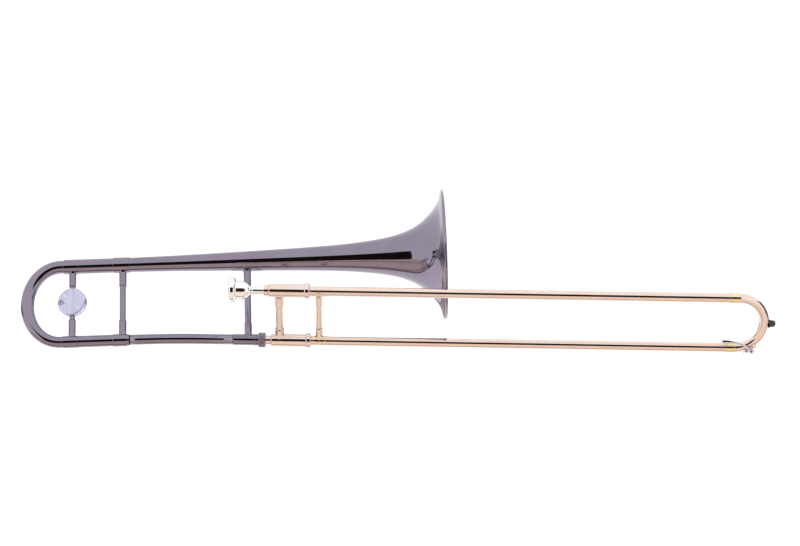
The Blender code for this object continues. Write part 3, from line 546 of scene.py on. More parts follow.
def make_materials():
    polished_metal("black_nickel", (0.27, 0.236, 0.302), (0.245, 0.213, 0.275), (0.16, 0.13, 0.15),
                   (0.04, 0.10), (0.42, 0.38, 0.44))
    polished_metal("rose_lacquer", (0.82, 0.70, 0.645), (0.79, 0.63, 0.54), (0.62, 0.46, 0.38),
                   (0.04, 0.09), (0.90, 0.82, 0.78), lacquer=0.1)
    polished_metal("yellow_brass", (0.88, 0.76, 0.52), (0.85, 0.69, 0.42), (0.52, 0.35, 0.18),
                   (0.06, 0.14), (0.92, 0.82, 0.64), lacquer=0.1)
    polished_metal("nickel_silver", (0.74, 0.69, 0.73), (0.68, 0.62, 0.67), (0.42, 0.37, 0.36),
                   (0.08, 0.2), (0.86, 0.83, 0.85))
    polished_metal("silver_plate", (0.93, 0.92, 0.94), (0.90, 0.885, 0.90), (0.66, 0.60, 0.52),
                   (0.04, 0.11), (0.97, 0.97, 0.97))
    brushed_metal("satin_silver", (0.60, 0.60, 0.78), (0.54, 0.54, 0.71), (0.26, 0.40),
                  (420.0, 14.0, 420.0))
    brushed_metal("spring_steel", (0.40, 0.40, 0.46), (0.30, 0.30, 0.35), (0.22, 0.38),
                  (500.0, 500.0, 60.0))
    soft_material("black_rubber", (0.022, 0.021, 0.024), (0.035, 0.034, 0.038), (0.42, 0.62),
                  500.0, 0.00003)
    soft_material("cork", (0.62, 0.44, 0.27), (0.40, 0.25, 0.14), (0.75, 0.95), 900.0, 0.00006)
    soft_material("felt", (0.42, 0.06, 0.07), (0.30, 0.04, 0.05), (0.85, 1.0), 1500.0, 0.0001, 0.4)


# ---------------------------------------------------------------- braces and plates

def brace_socket(node, frame_axes, leg_at, leg_r, body, slot_name):
    """Socket of a brace: a flared foot that sits on the leg, a plain neck and a beaded mouth.

    Its outline is measured from the leg's axis outwards, and the foot is bent to follow the leg.
    """
    spots = corners(node, frame_axes)
    x = 0.5 * (min(p.x for p in spots) + max(p.x for p in spots))
    upward = max(p.z for p in spots) > leg_at + 1.2 * leg_r
    side = 1.0 if upward else -1.0
    end = max(side * (p.z - leg_at) for p in spots)
    radius = max(p.x - x for p in spots)
    bore = min(math.hypot(p.x - x, p.y) for p in spots)
    foot = leg_r + 0.05
    bead = 0.16
    outer = [(foot, radius + 1.1), (foot + 0.5, radius + 0.85), (foot + 1.3, radius + 0.3),
             (foot + 2.6, radius), (end - 2.0, radius), (end - 1.7, radius + bead),
             (end - 0.9, radius + bead), (end - 0.6, radius), (end, radius - 0.35)]
    line = fine_outline(outer + [(end, bore), (foot, bore)], True, 0.25, 30.0)
    settle = 5.0

    def follow_leg(px, py, pz):
        drop = leg_r - math.sqrt(max(leg_r * leg_r - py * py, 0.0))
        share = min(1.0, max(0.0, 1.0 - (pz - foot) / settle))
        return px, py, leg_at + side * (pz - drop * share * share)

    turned("fine_" + node, line, True, frame_axes @ lift(x=x), body, slot_name, [node],
           SMALL_STEPS, follow_leg)


def brace_rod(node, frame_axes, body, slot_name):
    spots = corners(node, frame_axes)
    x = 0.5 * (min(p.x for p in spots) + max(p.x for p in spots))
    refined(node, frame_axes @ lift(x=x), body, slot_name, 0.4, 8.0, SMALL_STEPS)


def make_brace(prefix, frame_axes, low, high, body, slot_name):
    """low and high are (height, radius) of the tubes at the two ends."""
    brace_rod(prefix + "_rod", frame_axes, body, slot_name)
    brace_socket(prefix + "_lower_socket", frame_axes, *low, body, slot_name)
    brace_socket(prefix + "_upper_socket", frame_axes, *high, body, slot_name)


def wrapped_plate(node, place, half_length, half_angle, radius_at, thick, shape_power, centre, turn,
                  body, slot_name):
    """Thin plate wrapped on a tube along the piece's own Z.

    radius_at gives the tube's radius at a height, turn the direction it faces, and shape_power
    0.5 makes its ends round while 1 brings them to points.
    """
    along, around, edge = 40, 24, 3
    lower, upper = [], []
    for i in range(along + 1):
        share = -math.cos(math.pi * i / along)
        height = centre + half_length * share
        width = half_angle * max(1.0 - share * share, 1e-4) ** shape_power
        for rows, lifted in ((lower, 0.0), (upper, 1.0)):
            row = []
            for j in range(around + 1):
                across = 2.0 * j / around - 1.0
                near_edge = min(1.0, (1.0 - abs(across)) * around / edge)
                near_end = min(1.0, (1.0 - abs(share)) * 30.0)
                round_off = math.sqrt(max(0.0, 1.0 - (1.0 - min(near_edge, near_end)) ** 2))
                radius = radius_at(height) + lifted * thick * (0.35 + 0.65 * round_off)
                angle = turn + width * across
                row.append((radius * math.cos(angle), radius * math.sin(angle), height))
            rows.append(row)
    rings = [low + high[::-1] for low, high in zip(lower, upper)]
    data = ring_mesh(rings, False)
    bmesh.ops.remove_doubles(data, verts=data.verts, dist=1e-7)
    bmesh.ops.recalc_face_normals(data, faces=data.faces)
    item = finish_piece("fine_" + node, data, place, body, slot_name, [node])
    item.data.set_sharp_from_angle(angle=math.radians(50))


# ---------------------------------------------------------------- bell section

def make_bell():
    refined("bell", ON_HIGH_LEG, "bell_section", "black_nickel", 0.3, 50.0, BELL_STEPS, BELL_LEAN)
    for node in ("bell_stem_ferrule", "upper_slide_sleeve"):
        refined(node, ON_HIGH_LEG, "bell_section", "black_nickel")
    for node in ("gooseneck_ferrule", "lower_slide_sleeve"):
        refined(node, ON_LOW_LEG, "bell_section", "black_nickel")
    refined("slide_receiver", BELL @ along_x(), "bell_section", "black_nickel", 0.35)


def gooseneck_path():
    """Down the raked lower leg, round a long bend, then along the slide's axis."""
    start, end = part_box("gooseneck")
    corner = -LEG_LOW / math.sin(LEG_RAKE)
    radius = GOOSENECK_BEND / math.tan(LEG_RAKE / 2)
    first = (start.x / MM + GOOSENECK_R * math.sin(LEG_RAKE))
    path = [Vector((first, 0.0, (first - corner) * math.tan(LEG_RAKE)))]
    count = 16
    for i in range(count + 1):
        turn = LEG_RAKE * (1 - i / count)
        path.append(Vector((corner + GOOSENECK_BEND - radius * math.sin(turn), 0.0,
                            -radius * (1 - math.cos(turn)))))
    path.append(Vector((end.x / MM, 0.0, 0.0)))
    return path


def make_gooseneck():
    path = gooseneck_path()
    pipe("fine_gooseneck", path, [GOOSENECK_R] * len(path), GOOSENECK_WALL, BELL, "bell_section",
         "black_nickel", ["gooseneck"])


def bell_skin(low, high):
    """The bell's outer outline between two heights, as (height, radius) pairs."""
    thinnest = 12.0            # the bore and the stem's inside are nearer the axis than this
    outline, _ = cad_outline("bell", ON_HIGH_LEG)
    near = [(p[0], p[1]) for p in outline if low < p[0] < high]
    heights = sorted({h for h, _ in near})
    outer = [(height, max(r for h, r in near if h == height)) for height in heights]
    return [(h, r) for h, r in outer if r > thinnest]


def make_bell_flange(low, high):
    """Long plate, pointed at both ends, that lies on the bell's underside."""
    margin, clearance = 60.0, 0.12
    knots = bell_skin(low - margin, high + margin)

    def bell_radius(height):
        for (h0, r0), (h1, r1) in zip(knots, knots[1:]):
            if h0 <= height <= h1:
                return r0 + (r1 - r0) * (height - h0) / (h1 - h0) + clearance
        return knots[-1][1] if height > knots[-1][0] else knots[0][1]

    wrapped_plate("bell_brace_flange", ON_HIGH_LEG, 0.5 * (high - low), math.radians(31.0),
                  bell_radius, 1.0, 1.0, 0.5 * (low + high), 0.0, "bell_section", "black_nickel")


def make_bell_braces():
    low_r = reach("gooseneck_ferrule", ON_LOW_LEG)[2]
    high_r = reach("bell_stem_ferrule", ON_HIGH_LEG)[2]
    make_brace("middle_brace", LEGS, (LEG_LOW, low_r), (LEG_HIGH, high_r), "bell_section",
               "black_nickel")
    plate_low, plate_high, plate_r = reach("bell_brace_flange", ON_HIGH_LEG)
    make_bell_flange(plate_low, plate_high)
    receiver_r, sunk = 8.7, 0.4
    receiver_at = -0.5 * (plate_low + plate_high) * math.sin(LEG_RAKE)
    make_brace("front_brace", LEGS, (receiver_at, receiver_r), (LEG_HIGH, plate_r - sunk),
               "bell_section", "black_nickel")


# ---------------------------------------------------------------- tuning slide

def make_tuning_slide():
    ends = reach("tuning_bow", LEGS @ Matrix.Rotation(math.pi / 2, 4, "Y"))
    spacing = LEG_HIGH - LEG_LOW
    centre_x = ends[1] - TUNING_BOW_STRAIGHT
    depth = centre_x - ends[0] - TUNING_BOW_HIGH_R
    count = 72
    path = [Vector((ends[1], 0.0, LEG_LOW))]
    radii = [TUNING_BOW_LOW_R]
    for i in range(count + 1):
        share = i / count
        turn = math.pi * share
        path.append(Vector((centre_x - depth * math.sin(turn), 0.0,
                            0.5 * (LEG_LOW + LEG_HIGH) - 0.5 * spacing * math.cos(turn))))
        growth = min(1.0, 2.0 * share)
        growth = growth * growth * (3.0 - 2.0 * growth)
        radii.append(TUNING_BOW_LOW_R + growth * (TUNING_BOW_HIGH_R - TUNING_BOW_LOW_R))
    path.append(Vector((ends[1], 0.0, LEG_HIGH)))
    radii.append(TUNING_BOW_HIGH_R)
    pipe("fine_tuning_bow", path, radii, TUNING_BOW_WALL, LEGS, "tuning_slide", "black_nickel",
         ["tuning_bow"])
    for side, place in (("lower", ON_LOW_LEG), ("upper", ON_HIGH_LEG)):
        refined("tuning_" + side + "_ferrule", place, "tuning_slide", "black_nickel")
        refined("tuning_" + side + "_leg", place, "tuning_slide", "nickel_silver")
    low_r = reach("tuning_lower_ferrule", ON_LOW_LEG)[2]
    high_r = reach("tuning_upper_ferrule", ON_HIGH_LEG)[2]
    make_brace("tuning_brace", LEGS, (LEG_LOW, low_r), (LEG_HIGH, high_r), "tuning_slide",
               "black_nickel")


# ---------------------------------------------------------------- balance weight

def weight_axes():
    """Axes on the weight's centre, with Z out of its front face, read from the front half."""
    data = frame["nodes"]["weight_front_half"].data
    biggest = max(data.polygons, key=lambda face: face.area)
    spots = [v.co for v in data.vertices]
    brace = corners("tuning_brace_rod", LEGS)
    x = 0.5 * (min(p.x for p in brace) + max(p.x for p in brace))
    out = biggest.normal
    up = (LEGS.to_3x3() @ Vector((0.0, 0.0, 1.0))).normalized()
    out = (out - up * out.dot(up)).normalized()
    if out.y > 0.0:
        out = -out
    across = up.cross(out)
    heights = [up.dot(p) for p in spots]
    foot = LEGS @ (Vector((x, 0.0, 0.0)) * MM)
    centre = foot + up * (0.5 * (min(heights) + max(heights)) - up.dot(foot))
    axes = Matrix((across, up, out)).transposed().to_4x4()
    return Matrix.Translation(centre) @ axes


WEIGHT_ROD_BORE = 4.6
WEIGHT_SCREW_HOLE = 2.3
WEIGHT_COUNTERBORE = 4.35
WEIGHT_KNUCKLE_R = 2.0


def make_weight_half(node, side, place, screw_place):
    """One half of the clamp: a disc with a turned line on its face, bored for rod, screw and hinge."""
    low, high, radius = reach(node, place)
    face, seam = (high, low) if side > 0 else (low, high)
    line_depth = 0.12
    outline = [(seam, 0.0), (seam, radius), (face - side * 1.1, radius),
               (face - side * 0.25, radius - 0.55), (face, radius - 1.5),
               (face, radius - 3.1), (face - side * line_depth, radius - 3.3),
               (face - side * line_depth, radius - 3.7), (face, radius - 3.9), (face, 0.0)]
    line = fine_outline(outline, False, 0.25, 18.0)
    item = turned("fine_" + node, line, False, place, "tuning_slide", "satin_silver", [node], 128)
    cut(item, cylinder_mesh(-40.0, 40.0, WEIGHT_ROD_BORE), place @ Matrix.Rotation(math.pi / 2, 4, "X"))
    cut(item, cylinder_mesh(-9.0, 9.0, WEIGHT_SCREW_HOLE), screw_place)
    cut(item, cylinder_mesh(4.1, 9.0, WEIGHT_COUNTERBORE), screw_place)
    knuckle = place @ lift(x=radius - 0.4) @ Matrix.Rotation(math.pi / 2, 4, "X")
    cut(item, cylinder_mesh(-4.8, 4.8, WEIGHT_KNUCKLE_R), knuckle)


def make_weight():
    place = weight_axes()
    screw = corners("weight_screw", place)
    screw_x = 0.5 * (min(p.x for p in screw) + max(p.x for p in screw))
    screw_place = place @ lift(x=screw_x)
    make_weight_half("weight_front_half", 1.0, place, screw_place)
    make_weight_half("weight_back_half", -1.0, place, screw_place)
    radius = reach("weight_front_half", place)[2]
    hinge = place @ lift(x=radius - 1.6) @ Matrix.Rotation(math.pi / 2, 4, "X")
    line = fine_outline([(-4.6, 0.0), (-4.6, 1.55), (4.6, 1.55), (4.6, 0.0)], False, 0.3)
    turned("weight_hinge_pin", line, False, hinge, "tuning_slide", "spring_steel", [], SMALL_STEPS)
    outline, closed = cad_outline("weight_screw", screw_place)
    item = turned("fine_weight_screw", fine_outline(outline, closed), closed, screw_place,
                  "tuning_slide", "spring_steel", ["weight_screw"], SMALL_STEPS)
    cut(item, cylinder_mesh(4.9, 7.5, 2.15, 6), screw_place)


# ---------------------------------------------------------------- hand slide, inner half

def make_inner_slide():
    body = "inner_slide"
    for side, place in (("lower", ON_LOW_TUBE), ("upper", ON_HIGH_TUBE)):
        refined(side + "_inner_tube", place, body, "nickel_silver")
        refined(side + "_slide_felt", place, body, "felt", 0.8)
    refined("lower_cork_barrel", ON_LOW_TUBE, body, "rose_lacquer", 0.4, 38.0)
    refined("upper_cork_barrel", ON_HIGH_TUBE, body, "rose_lacquer", 0.4, 38.0)
    refined("slide_tenon", ON_LOW_TUBE, body, "rose_lacquer")
    refined("mouthpiece_receiver", ON_HIGH_TUBE, body, "rose_lacquer", 0.5)
    refined("leadpipe", ON_HIGH_TUBE, body, "yellow_brass")
    barrel_r = 10.35
    make_brace("grip_brace", SLIDE, (0.0, barrel_r), (SLIDE_SPACING, barrel_r), body,
               "rose_lacquer")


def make_lock_ring():
    """Turning ring with a rounded bead, an inner lip and the notch that frees the stud."""
    low, high, _ = reach("slide_lock_ring", ON_LOW_TUBE)
    bore, lip = 10.25, 8.5
    bead = [(low, 10.8)] + bead_line(low, high, 10.8, 12.3) + [(high, 10.8)]
    outline = bead + [(high, lip), (high - 1.8, lip), (high - 1.9, bore), (low, bore)]
    ring = turned("fine_slide_lock_ring", fine_outline(outline, True, 0.25, 38.0), True, ON_LOW_TUBE,
                  "slide_lock", "rose_lacquer", ["slide_lock_ring"])
    notch = cylinder_mesh(7.0, 10.1, 2.2, 24)
    cut(ring, notch, SLIDE @ lift(x=high) @ Matrix.Rotation(-math.pi / 2, 4, "X"))


def bead_line(low, high, edge_r, crown_r):
    middle_at, half = 0.5 * (low + high), 0.5 * (high - low)
    turns = [math.radians(150.0 - 120.0 * i / 8) for i in range(9)]
    return [(middle_at + half * math.cos(t), edge_r + (crown_r - edge_r) * math.sin(t))
            for t in turns]


def make_lock_nut():
    """Round nut with a fine straight knurl between two plain shoulders."""
    low, high, radius = reach("bell_lock_nut", ON_LOW_TUBE)
    ridges, depth = 44, 0.3
    knurl_low, knurl_high = low + 2.4, high - 2.4
    outline = [(low, radius - 1.5), (low + 0.5, radius - 0.5), (low + 1.6, radius),
               (knurl_low, radius), (knurl_low + 0.3, radius - 0.2)]
    outline += [(knurl_low + 0.6 + i * (knurl_high - knurl_low - 1.2) / 6, radius) for i in range(7)]
    outline += [(knurl_high - 0.3, radius - 0.2), (knurl_high, radius), (high - 1.6, radius),
                (high - 0.5, radius - 0.5), (high, radius - 1.5), (high, 7.85), (1.6, 7.85),
                (1.5, 8.95), (low, 8.95)]

    def knurl(px, py, pz):
        reach_out = math.hypot(px, py)
        if reach_out < radius - 0.1 or not knurl_low + 0.4 < pz < knurl_high - 0.4:
            return px, py, pz
        groove = depth * (0.5 + 0.5 * math.cos(ridges * math.atan2(py, px))) ** 2
        return px * (1.0 - groove / reach_out), py * (1.0 - groove / reach_out), pz

    line = fine_outline(outline, True, 0.2, 30.0)
    turned("fine_bell_lock_nut", line, True, ON_LOW_TUBE, "lock_nut", "black_nickel",
           ["bell_lock_nut"], ridges * 8, knurl)


def make_mouthpiece():
    refined("mouthpiece", ON_HIGH_TUBE, "mouthpiece", "silver_plate", 0.5, 48.0, 160)


# ---------------------------------------------------------------- hand slide, outer half

def make_outer_slide():
    body = "outer_slide"
    for side, place in (("lower", ON_LOW_TUBE), ("upper", ON_HIGH_TUBE)):
        refined(side + "_outer_tube", place, body, "rose_lacquer")
        refined(side + "_bow_ferrule", place, body, "yellow_brass", 0.4)
    saddle_low, saddle_high, saddle_r = reach("slide_brace_lower_saddle", ON_LOW_TUBE)
    tube_r = 7.4
    for side, place, turn in (("lower", ON_LOW_TUBE, math.pi), ("upper", ON_HIGH_TUBE, 0.0)):
        wrapped_plate("slide_brace_" + side + "_saddle", place, 0.5 * (saddle_high - saddle_low),
                      math.radians(99.0), lambda height: tube_r + 0.1, saddle_r - tube_r - 0.1, 0.5,
                      0.5 * (saddle_low + saddle_high), turn, body, "yellow_brass")
    make_brace("slide_brace", SLIDE, (0.0, saddle_r), (SLIDE_SPACING, saddle_r), body,
               "rose_lacquer")
    stud_x = middle("slide_lock_stud").x / MM
    refined("slide_lock_stud", SLIDE @ lift(x=stud_x) @ Matrix.Rotation(-math.pi / 2, 4, "X"), body,
            "yellow_brass", 0.25)


BOW_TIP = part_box("slide_bow")[1].x / MM
TUBE_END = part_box("lower_outer_tube")[1].x / MM


def bow_point(turn):
    """A point of the bow's centre line in the slide's axes: 0 is its lower end, pi its upper."""
    centre_x = TUBE_END + SLIDE_BOW_STRAIGHT + 0.4
    depth = BOW_TIP - SLIDE_BOW_R - centre_x
    return Vector((centre_x + depth * math.sin(turn), 0.0,
                   0.5 * SLIDE_SPACING * (1.0 - math.cos(turn))))


def bow_direction(turn):
    step = 0.001
    return (bow_point(turn + step) - bow_point(turn - step)).normalized()


def make_slide_bow():
    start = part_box("slide_bow")[0].x / MM
    count = 64
    path = [Vector((start, 0.0, 0.0))]
    path += [bow_point(math.pi * i / count) for i in range(count + 1)]
    path.append(Vector((start, 0.0, SLIDE_SPACING)))
    pipe("fine_slide_bow", path, [SLIDE_BOW_R] * len(path), SLIDE_BOW_WALL, SLIDE, "outer_slide",
         "rose_lacquer", ["slide_bow"])


def sit_on_bow(px, py, pz):
    """Bend a small foot's lowest rings to follow the bow's round back."""
    settle = 3.0
    drop = SLIDE_BOW_R - math.sqrt(max(SLIDE_BOW_R ** 2 - py * py, 0.0))
    share = min(1.0, max(0.0, 1.0 - (pz - SLIDE_BOW_R) / settle))
    return px, py, pz - drop * share


def sit_on_bow_end(px, py, pz):
    """The same for a foot whose X lies across the bow."""
    qx, qy, qz = sit_on_bow(py, px, pz)
    return qy, qx, qz


def make_bumper():
    centre = SLIDE @ along_x(0.5 * SLIDE_SPACING)
    foot = centre @ lift(z=BOW_TIP - SLIDE_BOW_R) @ Matrix.Rotation(math.pi, 4, "Z")
    top = SLIDE_BOW_R
    outline = [(top, 6.4), (top + 1.6, 6.4), (top + 2.4, 6.1), (top + 3.1, 5.6), (top + 3.1, 3.4),
               (top, 3.4)]
    turned("fine_bow_knob_socket", fine_outline(outline, True), True, foot, "outer_slide",
           "black_rubber", ["bow_knob_socket"], SMALL_STEPS, sit_on_bow_end)
    refined("rubber_bumper", centre, "outer_slide", "black_rubber", 0.5, 40.0, SMALL_STEPS)


# ---------------------------------------------------------------- water key

KEY_BEND = math.radians(30.0)
NIPPLE_LEAN = math.radians(62.0)
NIPPLE_TOP = 10.9
KEY_BARREL_R = 2.3

# Route of the key's lever: finger end, over the tube, down to the cork cup. X is measured from the
# end of the outer tube, and Y and Z from the lower tube's line, in the slide's axes.
LEVER_ROUTE = [(-14.2, -5.3, 13.9), (-10.0, -5.6, 13.4), (-5.0, -5.6, 13.3), (0.0, -5.8, 13.6),
               (8.0, -7.4, 13.8), (15.0, -10.6, 13.4), (21.5, -13.4, 10.6), (27.6, -14.2, 4.6),
               (31.6, -12.6, -1.6)]
LEVER_SIZES = [(2.6, 0.55), (3.3, 0.7), (3.3, 0.75), (2.4, 0.95), (1.4, 1.2), (1.35, 1.3),
               (1.4, 1.35), (1.4, 1.35), (1.35, 1.3), (1.6, 1.5)]


def key_axes():
    """Axes on the bow's centre line at the key: X along the bow, Y outwards, Z to the back."""
    along = bow_direction(KEY_BEND)
    outwards = Vector((along.z, 0.0, -along.x))
    axes = Matrix((along, outwards, along.cross(outwards))).transposed().to_4x4()
    return SLIDE @ Matrix.Translation(bow_point(KEY_BEND) * MM) @ axes


def leaning(lean):
    """Turns Z to point out through the bow's surface: 0 is its front, a quarter turn its outside."""
    return Matrix.Rotation(lean - math.pi, 4, "X")


def make_water_key():
    seat = key_axes()
    knob = seat @ leaning(NIPPLE_LEAN)
    top = SLIDE_BOW_R
    outline = [(top, 3.5), (top + 0.8, 3.4), (top + 1.3, 2.6), (NIPPLE_TOP - 0.6, 2.3),
               (NIPPLE_TOP, 2.0), (NIPPLE_TOP, 1.5), (top, 1.5)]
    turned("fine_water_key_nipple", fine_outline(outline, True, 0.25), True, knob, "outer_slide",
           "yellow_brass", ["water_key_nipple"], SMALL_STEPS, sit_on_bow)
    low, high, radius = reach("water_key_cork", knob)
    pad = fine_outline([(low, 0.0), (low, radius), (high, radius), (high, 0.0)], False, 0.4)
    turned("fine_water_key_cork", pad, False, knob, "water_key", "cork", ["water_key_cork"],
           SMALL_STEPS)

    hinge = Matrix.Translation(joint_place("water_key_press"))
    hinge = hinge @ joint_axis("water_key_press").to_track_quat("Z", "Y").to_matrix().to_4x4()
    low, high, _ = reach("water_key_pin", hinge)
    ends = [(low - 0.15, 0.0), (low - 0.15, 1.1), (low + 0.35, 1.75), (low + 1.0, 1.75),
            (low + 1.0, 0.95), (high - 1.0, 0.95), (high - 1.0, 1.75), (high - 0.35, 1.75),
            (high + 0.15, 1.1), (high + 0.15, 0.0)]
    pin = turned("fine_water_key_pin", fine_outline(ends, False, 0.2), False, hinge, "outer_slide",
                 "nickel_silver", ["water_key_pin"], SMALL_STEPS)
    slot_cutter = bmesh.new()
    bmesh.ops.create_cube(slot_cutter, size=MM, matrix=Matrix.Diagonal((5.0, 0.5, 0.9, 1.0)))
    cut(pin, slot_cutter, hinge @ lift(z=high + 0.1))
    for side in ("left", "right"):
        soften("water_key_" + side + "_post", "yellow_brass", 0.25)
    make_lever(knob, hinge)
    make_spring(hinge)


def lever_path(knots):
    """Points along a smooth curve through the lever's knots, and the half sizes at each."""
    per_span = 7
    path, sizes = [], []
    padded = [2 * knots[0] - knots[1]] + knots + [2 * knots[-1] - knots[-2]]
    for k in range(len(knots) - 1):
        p0, p1, p2, p3 = padded[k:k + 4]
        for i in range(per_span):
            t = i / per_span
            path.append(0.5 * (2 * p1 + (p2 - p0) * t + (2 * p0 - 5 * p1 + 4 * p2 - p3) * t * t
                               + (3 * p1 - p0 - 3 * p2 + p3) * t ** 3))
            sizes.append(tuple(a + (b - a) * t for a, b in zip(LEVER_SIZES[k], LEVER_SIZES[k + 1])))
    path.append(knots[-1])
    sizes.append(LEVER_SIZES[-1])
    sizes[0] = tuple(s * 0.55 for s in sizes[0])
    sizes[1] = tuple(s * 0.9 for s in sizes[1])
    return path, sizes


def make_lever(knob, hinge):
    """Finger plate and arm swept as one ribbon, with the cork's cup and the hinge barrel."""
    cup_low, cup_high = 12.0, 15.4
    cup_top = SLIDE.inverted() @ (knob @ (Vector((0.0, 0.0, cup_high - 0.7)) * MM)) / MM
    start = Vector((TUBE_END, 0.0, 0.0))
    path, sizes = lever_path([start + Vector(p) for p in LEVER_ROUTE] + [cup_top])
    plate_lean = math.radians(68.0)
    face = Vector((0.0, -math.sin(plate_lean), math.cos(plate_lean)))
    data = ring_mesh(swept_rings(path, sizes, 28, face), False)
    finish_piece("fine_water_key_lever", data, SLIDE, "water_key", "nickel_silver",
                 ["water_key_lever"])
    cup = [(cup_low + 1.0, 0.0), (cup_low + 1.0, 3.4), (cup_low, 3.4), (cup_low, 3.9),
           (cup_high - 1.6, 3.95), (cup_high - 0.7, 3.6), (cup_high - 0.1, 2.6), (cup_high, 0.0)]
    turned("water_key_cup", fine_outline(cup, False), False, knob, "water_key", "nickel_silver",
           [], SMALL_STEPS)
    half, bore, bead_r = 6.8, 1.25, KEY_BARREL_R + 0.25
    barrel = [(-half, KEY_BARREL_R), (-half + 0.9, bead_r), (-half + 1.4, KEY_BARREL_R),
              (half - 1.4, KEY_BARREL_R), (half - 0.9, bead_r), (half, KEY_BARREL_R),
              (half, bore), (-half, bore)]
    turned("water_key_barrel", fine_outline(barrel, True, 0.2), True, hinge, "water_key",
           "nickel_silver", [], SMALL_STEPS)


def make_spring(hinge):
    """Torsion spring coiled on the hinge barrel."""
    low, high, _ = reach("water_key_spring", hinge)
    coil_r, wire_r, turns, per_turn = 3.3, 0.35, 4, 28
    path = []
    for i in range(turns * per_turn + 1):
        share = i / (turns * per_turn)
        angle = 2.0 * math.pi * turns * share
        path.append(Vector((coil_r * math.cos(angle), coil_r * math.sin(angle),
                            low + wire_r + share * (high - low - 2 * wire_r))))
    data = ring_mesh(swept_rings(path, [(wire_r, wire_r)] * len(path), 12), False)
    finish_piece("fine_water_key_spring", data, hinge, "outer_slide", "spring_steel",
                 ["water_key_spring"])


def soften(node, slot_name, width):
    """Keep a CAD node, round its edges a little and give it its finish."""
    item = frame["nodes"][node]
    item.data.materials.clear()
    item.data.materials.append(finishes[slot_name])
    weld = item.modifiers.new("weld", "WELD")
    weld.merge_threshold = 1e-6
    bevel = item.modifiers.new("edges", "BEVEL")
    bevel.width = width * MM
    bevel.segments = 3
    bevel.limit_method = "ANGLE"
    bevel.angle_limit = math.radians(35)


# ---------------------------------------------------------------- studio

def plain_material(name, color, emission, strength):
    material = bpy.data.materials.new(name)
    material.use_nodes = True
    shader = material.node_tree.nodes["Principled BSDF"]
    shader.inputs["Base Color"].default_value = (*color, 1.0)
    shader.inputs["Roughness"].default_value = 0.9
    shader.inputs["Specular IOR Level"].default_value = 0.0
    shader.inputs["Emission Color"].default_value = (*emission, 1.0)
    shader.inputs["Emission Strength"].default_value = strength
    return material


def studio_card(name, corners_at, color, strength=1.0):
    """A flat card that shows only in the metal's reflections, as a photographer's flag does."""
    mesh = bpy.data.meshes.new(name)
    mesh.from_pydata(corners_at, [], [(0, 1, 2, 3)])
    item = bpy.data.objects.new(name, mesh)
    bpy.context.scene.collection.objects.link(item)
    mesh.materials.append(plain_material(name, (0.0, 0.0, 0.0), color, strength))
    item.visible_camera = False
    item.visible_diffuse = False
    item.visible_shadow = False
    item.visible_transmission = False


def make_floor():
    size, drop = 14.0, 0.42
    z = cad_box[0].z - drop
    mesh = bpy.data.meshes.new("floor")
    mesh.from_pydata([(-size, -size, z), (size, -size, z), (size, size, z), (-size, size, z)], [],
                     [(0, 1, 2, 3)])
    item = bpy.data.objects.new("floor", mesh)
    bpy.context.scene.collection.objects.link(item)
    mesh.materials.append(plain_material("floor", (0.9, 0.89, 0.88), (1.0, 0.985, 0.97), 0.12))
    return z


def upright_card(name, y, x_span, z_span, color):
    (x0, x1), (z0, z1) = x_span, z_span
    studio_card(name, [(x0, y, z0), (x1, y, z0), (x1, y, z1), (x0, y, z1)], color)


def side_card(name, x, y_span, z_span, color):
    (y0, y1), (z0, z1) = y_span, z_span
    studio_card(name, [(x, y0, z0), (x, y1, z0), (x, y1, z1), (x, y0, z1)], color)


def floor_card(name, z, y_span, color):
    x0, x1 = -1.6, 1.8
    y0, y1 = y_span
    studio_card(name, [(x0, y0, z), (x1, y0, z), (x1, y1, z), (x0, y1, z)], color)


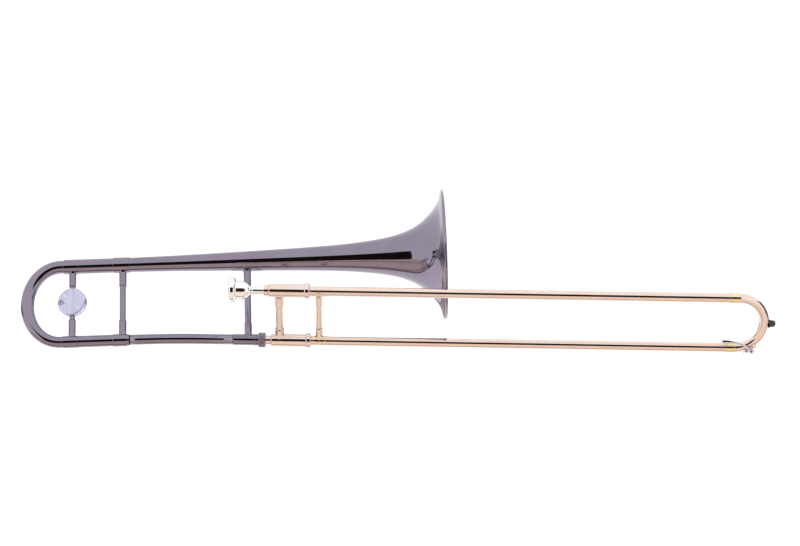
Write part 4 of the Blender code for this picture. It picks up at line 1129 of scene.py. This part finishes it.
def make_cards(floor_z):
    """The cards, in metres: heights are from the middle of the instrument or just over the floor."""
    low, high = cad_box
    mid = 0.5 * (low.z + high.z)
    dark = (0.026, 0.014, 0.013)
    upright_card("front_flag", -1.0, (-0.92, 0.95), (mid - 0.42, mid + 0.40), dark)
    upright_card("back_flag", 1.6, (-0.9, 1.1), (mid - 0.12, mid + 0.13), dark)
    upright_card("back_low_card", 1.6, (-0.9, 1.1), (mid - 0.42, mid - 0.12), (0.5, 0.42, 0.40))
    side_card("left_flag", -1.3, (0.1, 1.0), (mid - 0.15, mid + 0.07), dark)
    side_card("right_flag", 1.8, (-0.3, 1.2), (mid - 0.4, mid + 0.6), (0.16, 0.14, 0.16))
    card_z = floor_z + 0.012
    floor_card("warm_card", card_z, (-1.5, -0.09), (1.0, 0.85, 0.73))
    # painted shadow: a dim card just over the floor, right under the instrument, stands in for the
    # shade beneath it where the metal reflects the floor
    floor_card("painted_shadow_card", card_z, (-0.09, 0.07), (0.42, 0.33, 0.30))


def make_studio():
    make_cards(make_floor())
    world = bpy.data.worlds.new("studio")
    bpy.context.scene.world = world
    world.use_nodes = True
    background = world.node_tree.nodes["Background"]
    background.inputs["Color"].default_value = (1.0, 1.0, 1.0, 1.0)
    background.inputs["Strength"].default_value = 1.12

    panel = bpy.data.lights.new("overhead_panel", "AREA")
    panel.shape = "RECTANGLE"
    panel.size, panel.size_y = 3.0, 2.0
    panel.energy = 21.0
    light = bpy.data.objects.new("overhead_panel", panel)
    light.location = (0.2, -0.3, 2.4)
    light.visible_glossy = False
    bpy.context.scene.collection.objects.link(light)


CAMERA_PLACE = (0.2156, -3.5, 0.1089)
CAMERA_LENS = 100.0
CAMERA_ROLL = math.radians(0.93)


def make_camera():
    """A long lens held level, square to the instrument, with the frame turned a little."""
    camera = bpy.data.objects.new("camera", bpy.data.cameras.new("camera"))
    camera.data.sensor_width = 36.0
    camera.data.lens = CAMERA_LENS
    camera.location = CAMERA_PLACE
    camera.rotation_euler = (math.pi / 2, 0.0, 0.0)
    camera.rotation_euler.rotate_axis("Z", CAMERA_ROLL)
    bpy.context.scene.collection.objects.link(camera)
    bpy.context.scene.camera = camera
    bpy.context.scene.view_settings.view_transform = "Standard"


# ---------------------------------------------------------------- whole instrument

make_materials()
make_bell()
make_gooseneck()
make_bell_braces()
make_tuning_slide()
make_weight()
make_inner_slide()
make_lock_ring()
make_lock_nut()
make_mouthpiece()
make_outer_slide()
make_slide_bow()
make_bumper()
make_water_key()
make_studio()
make_camera()
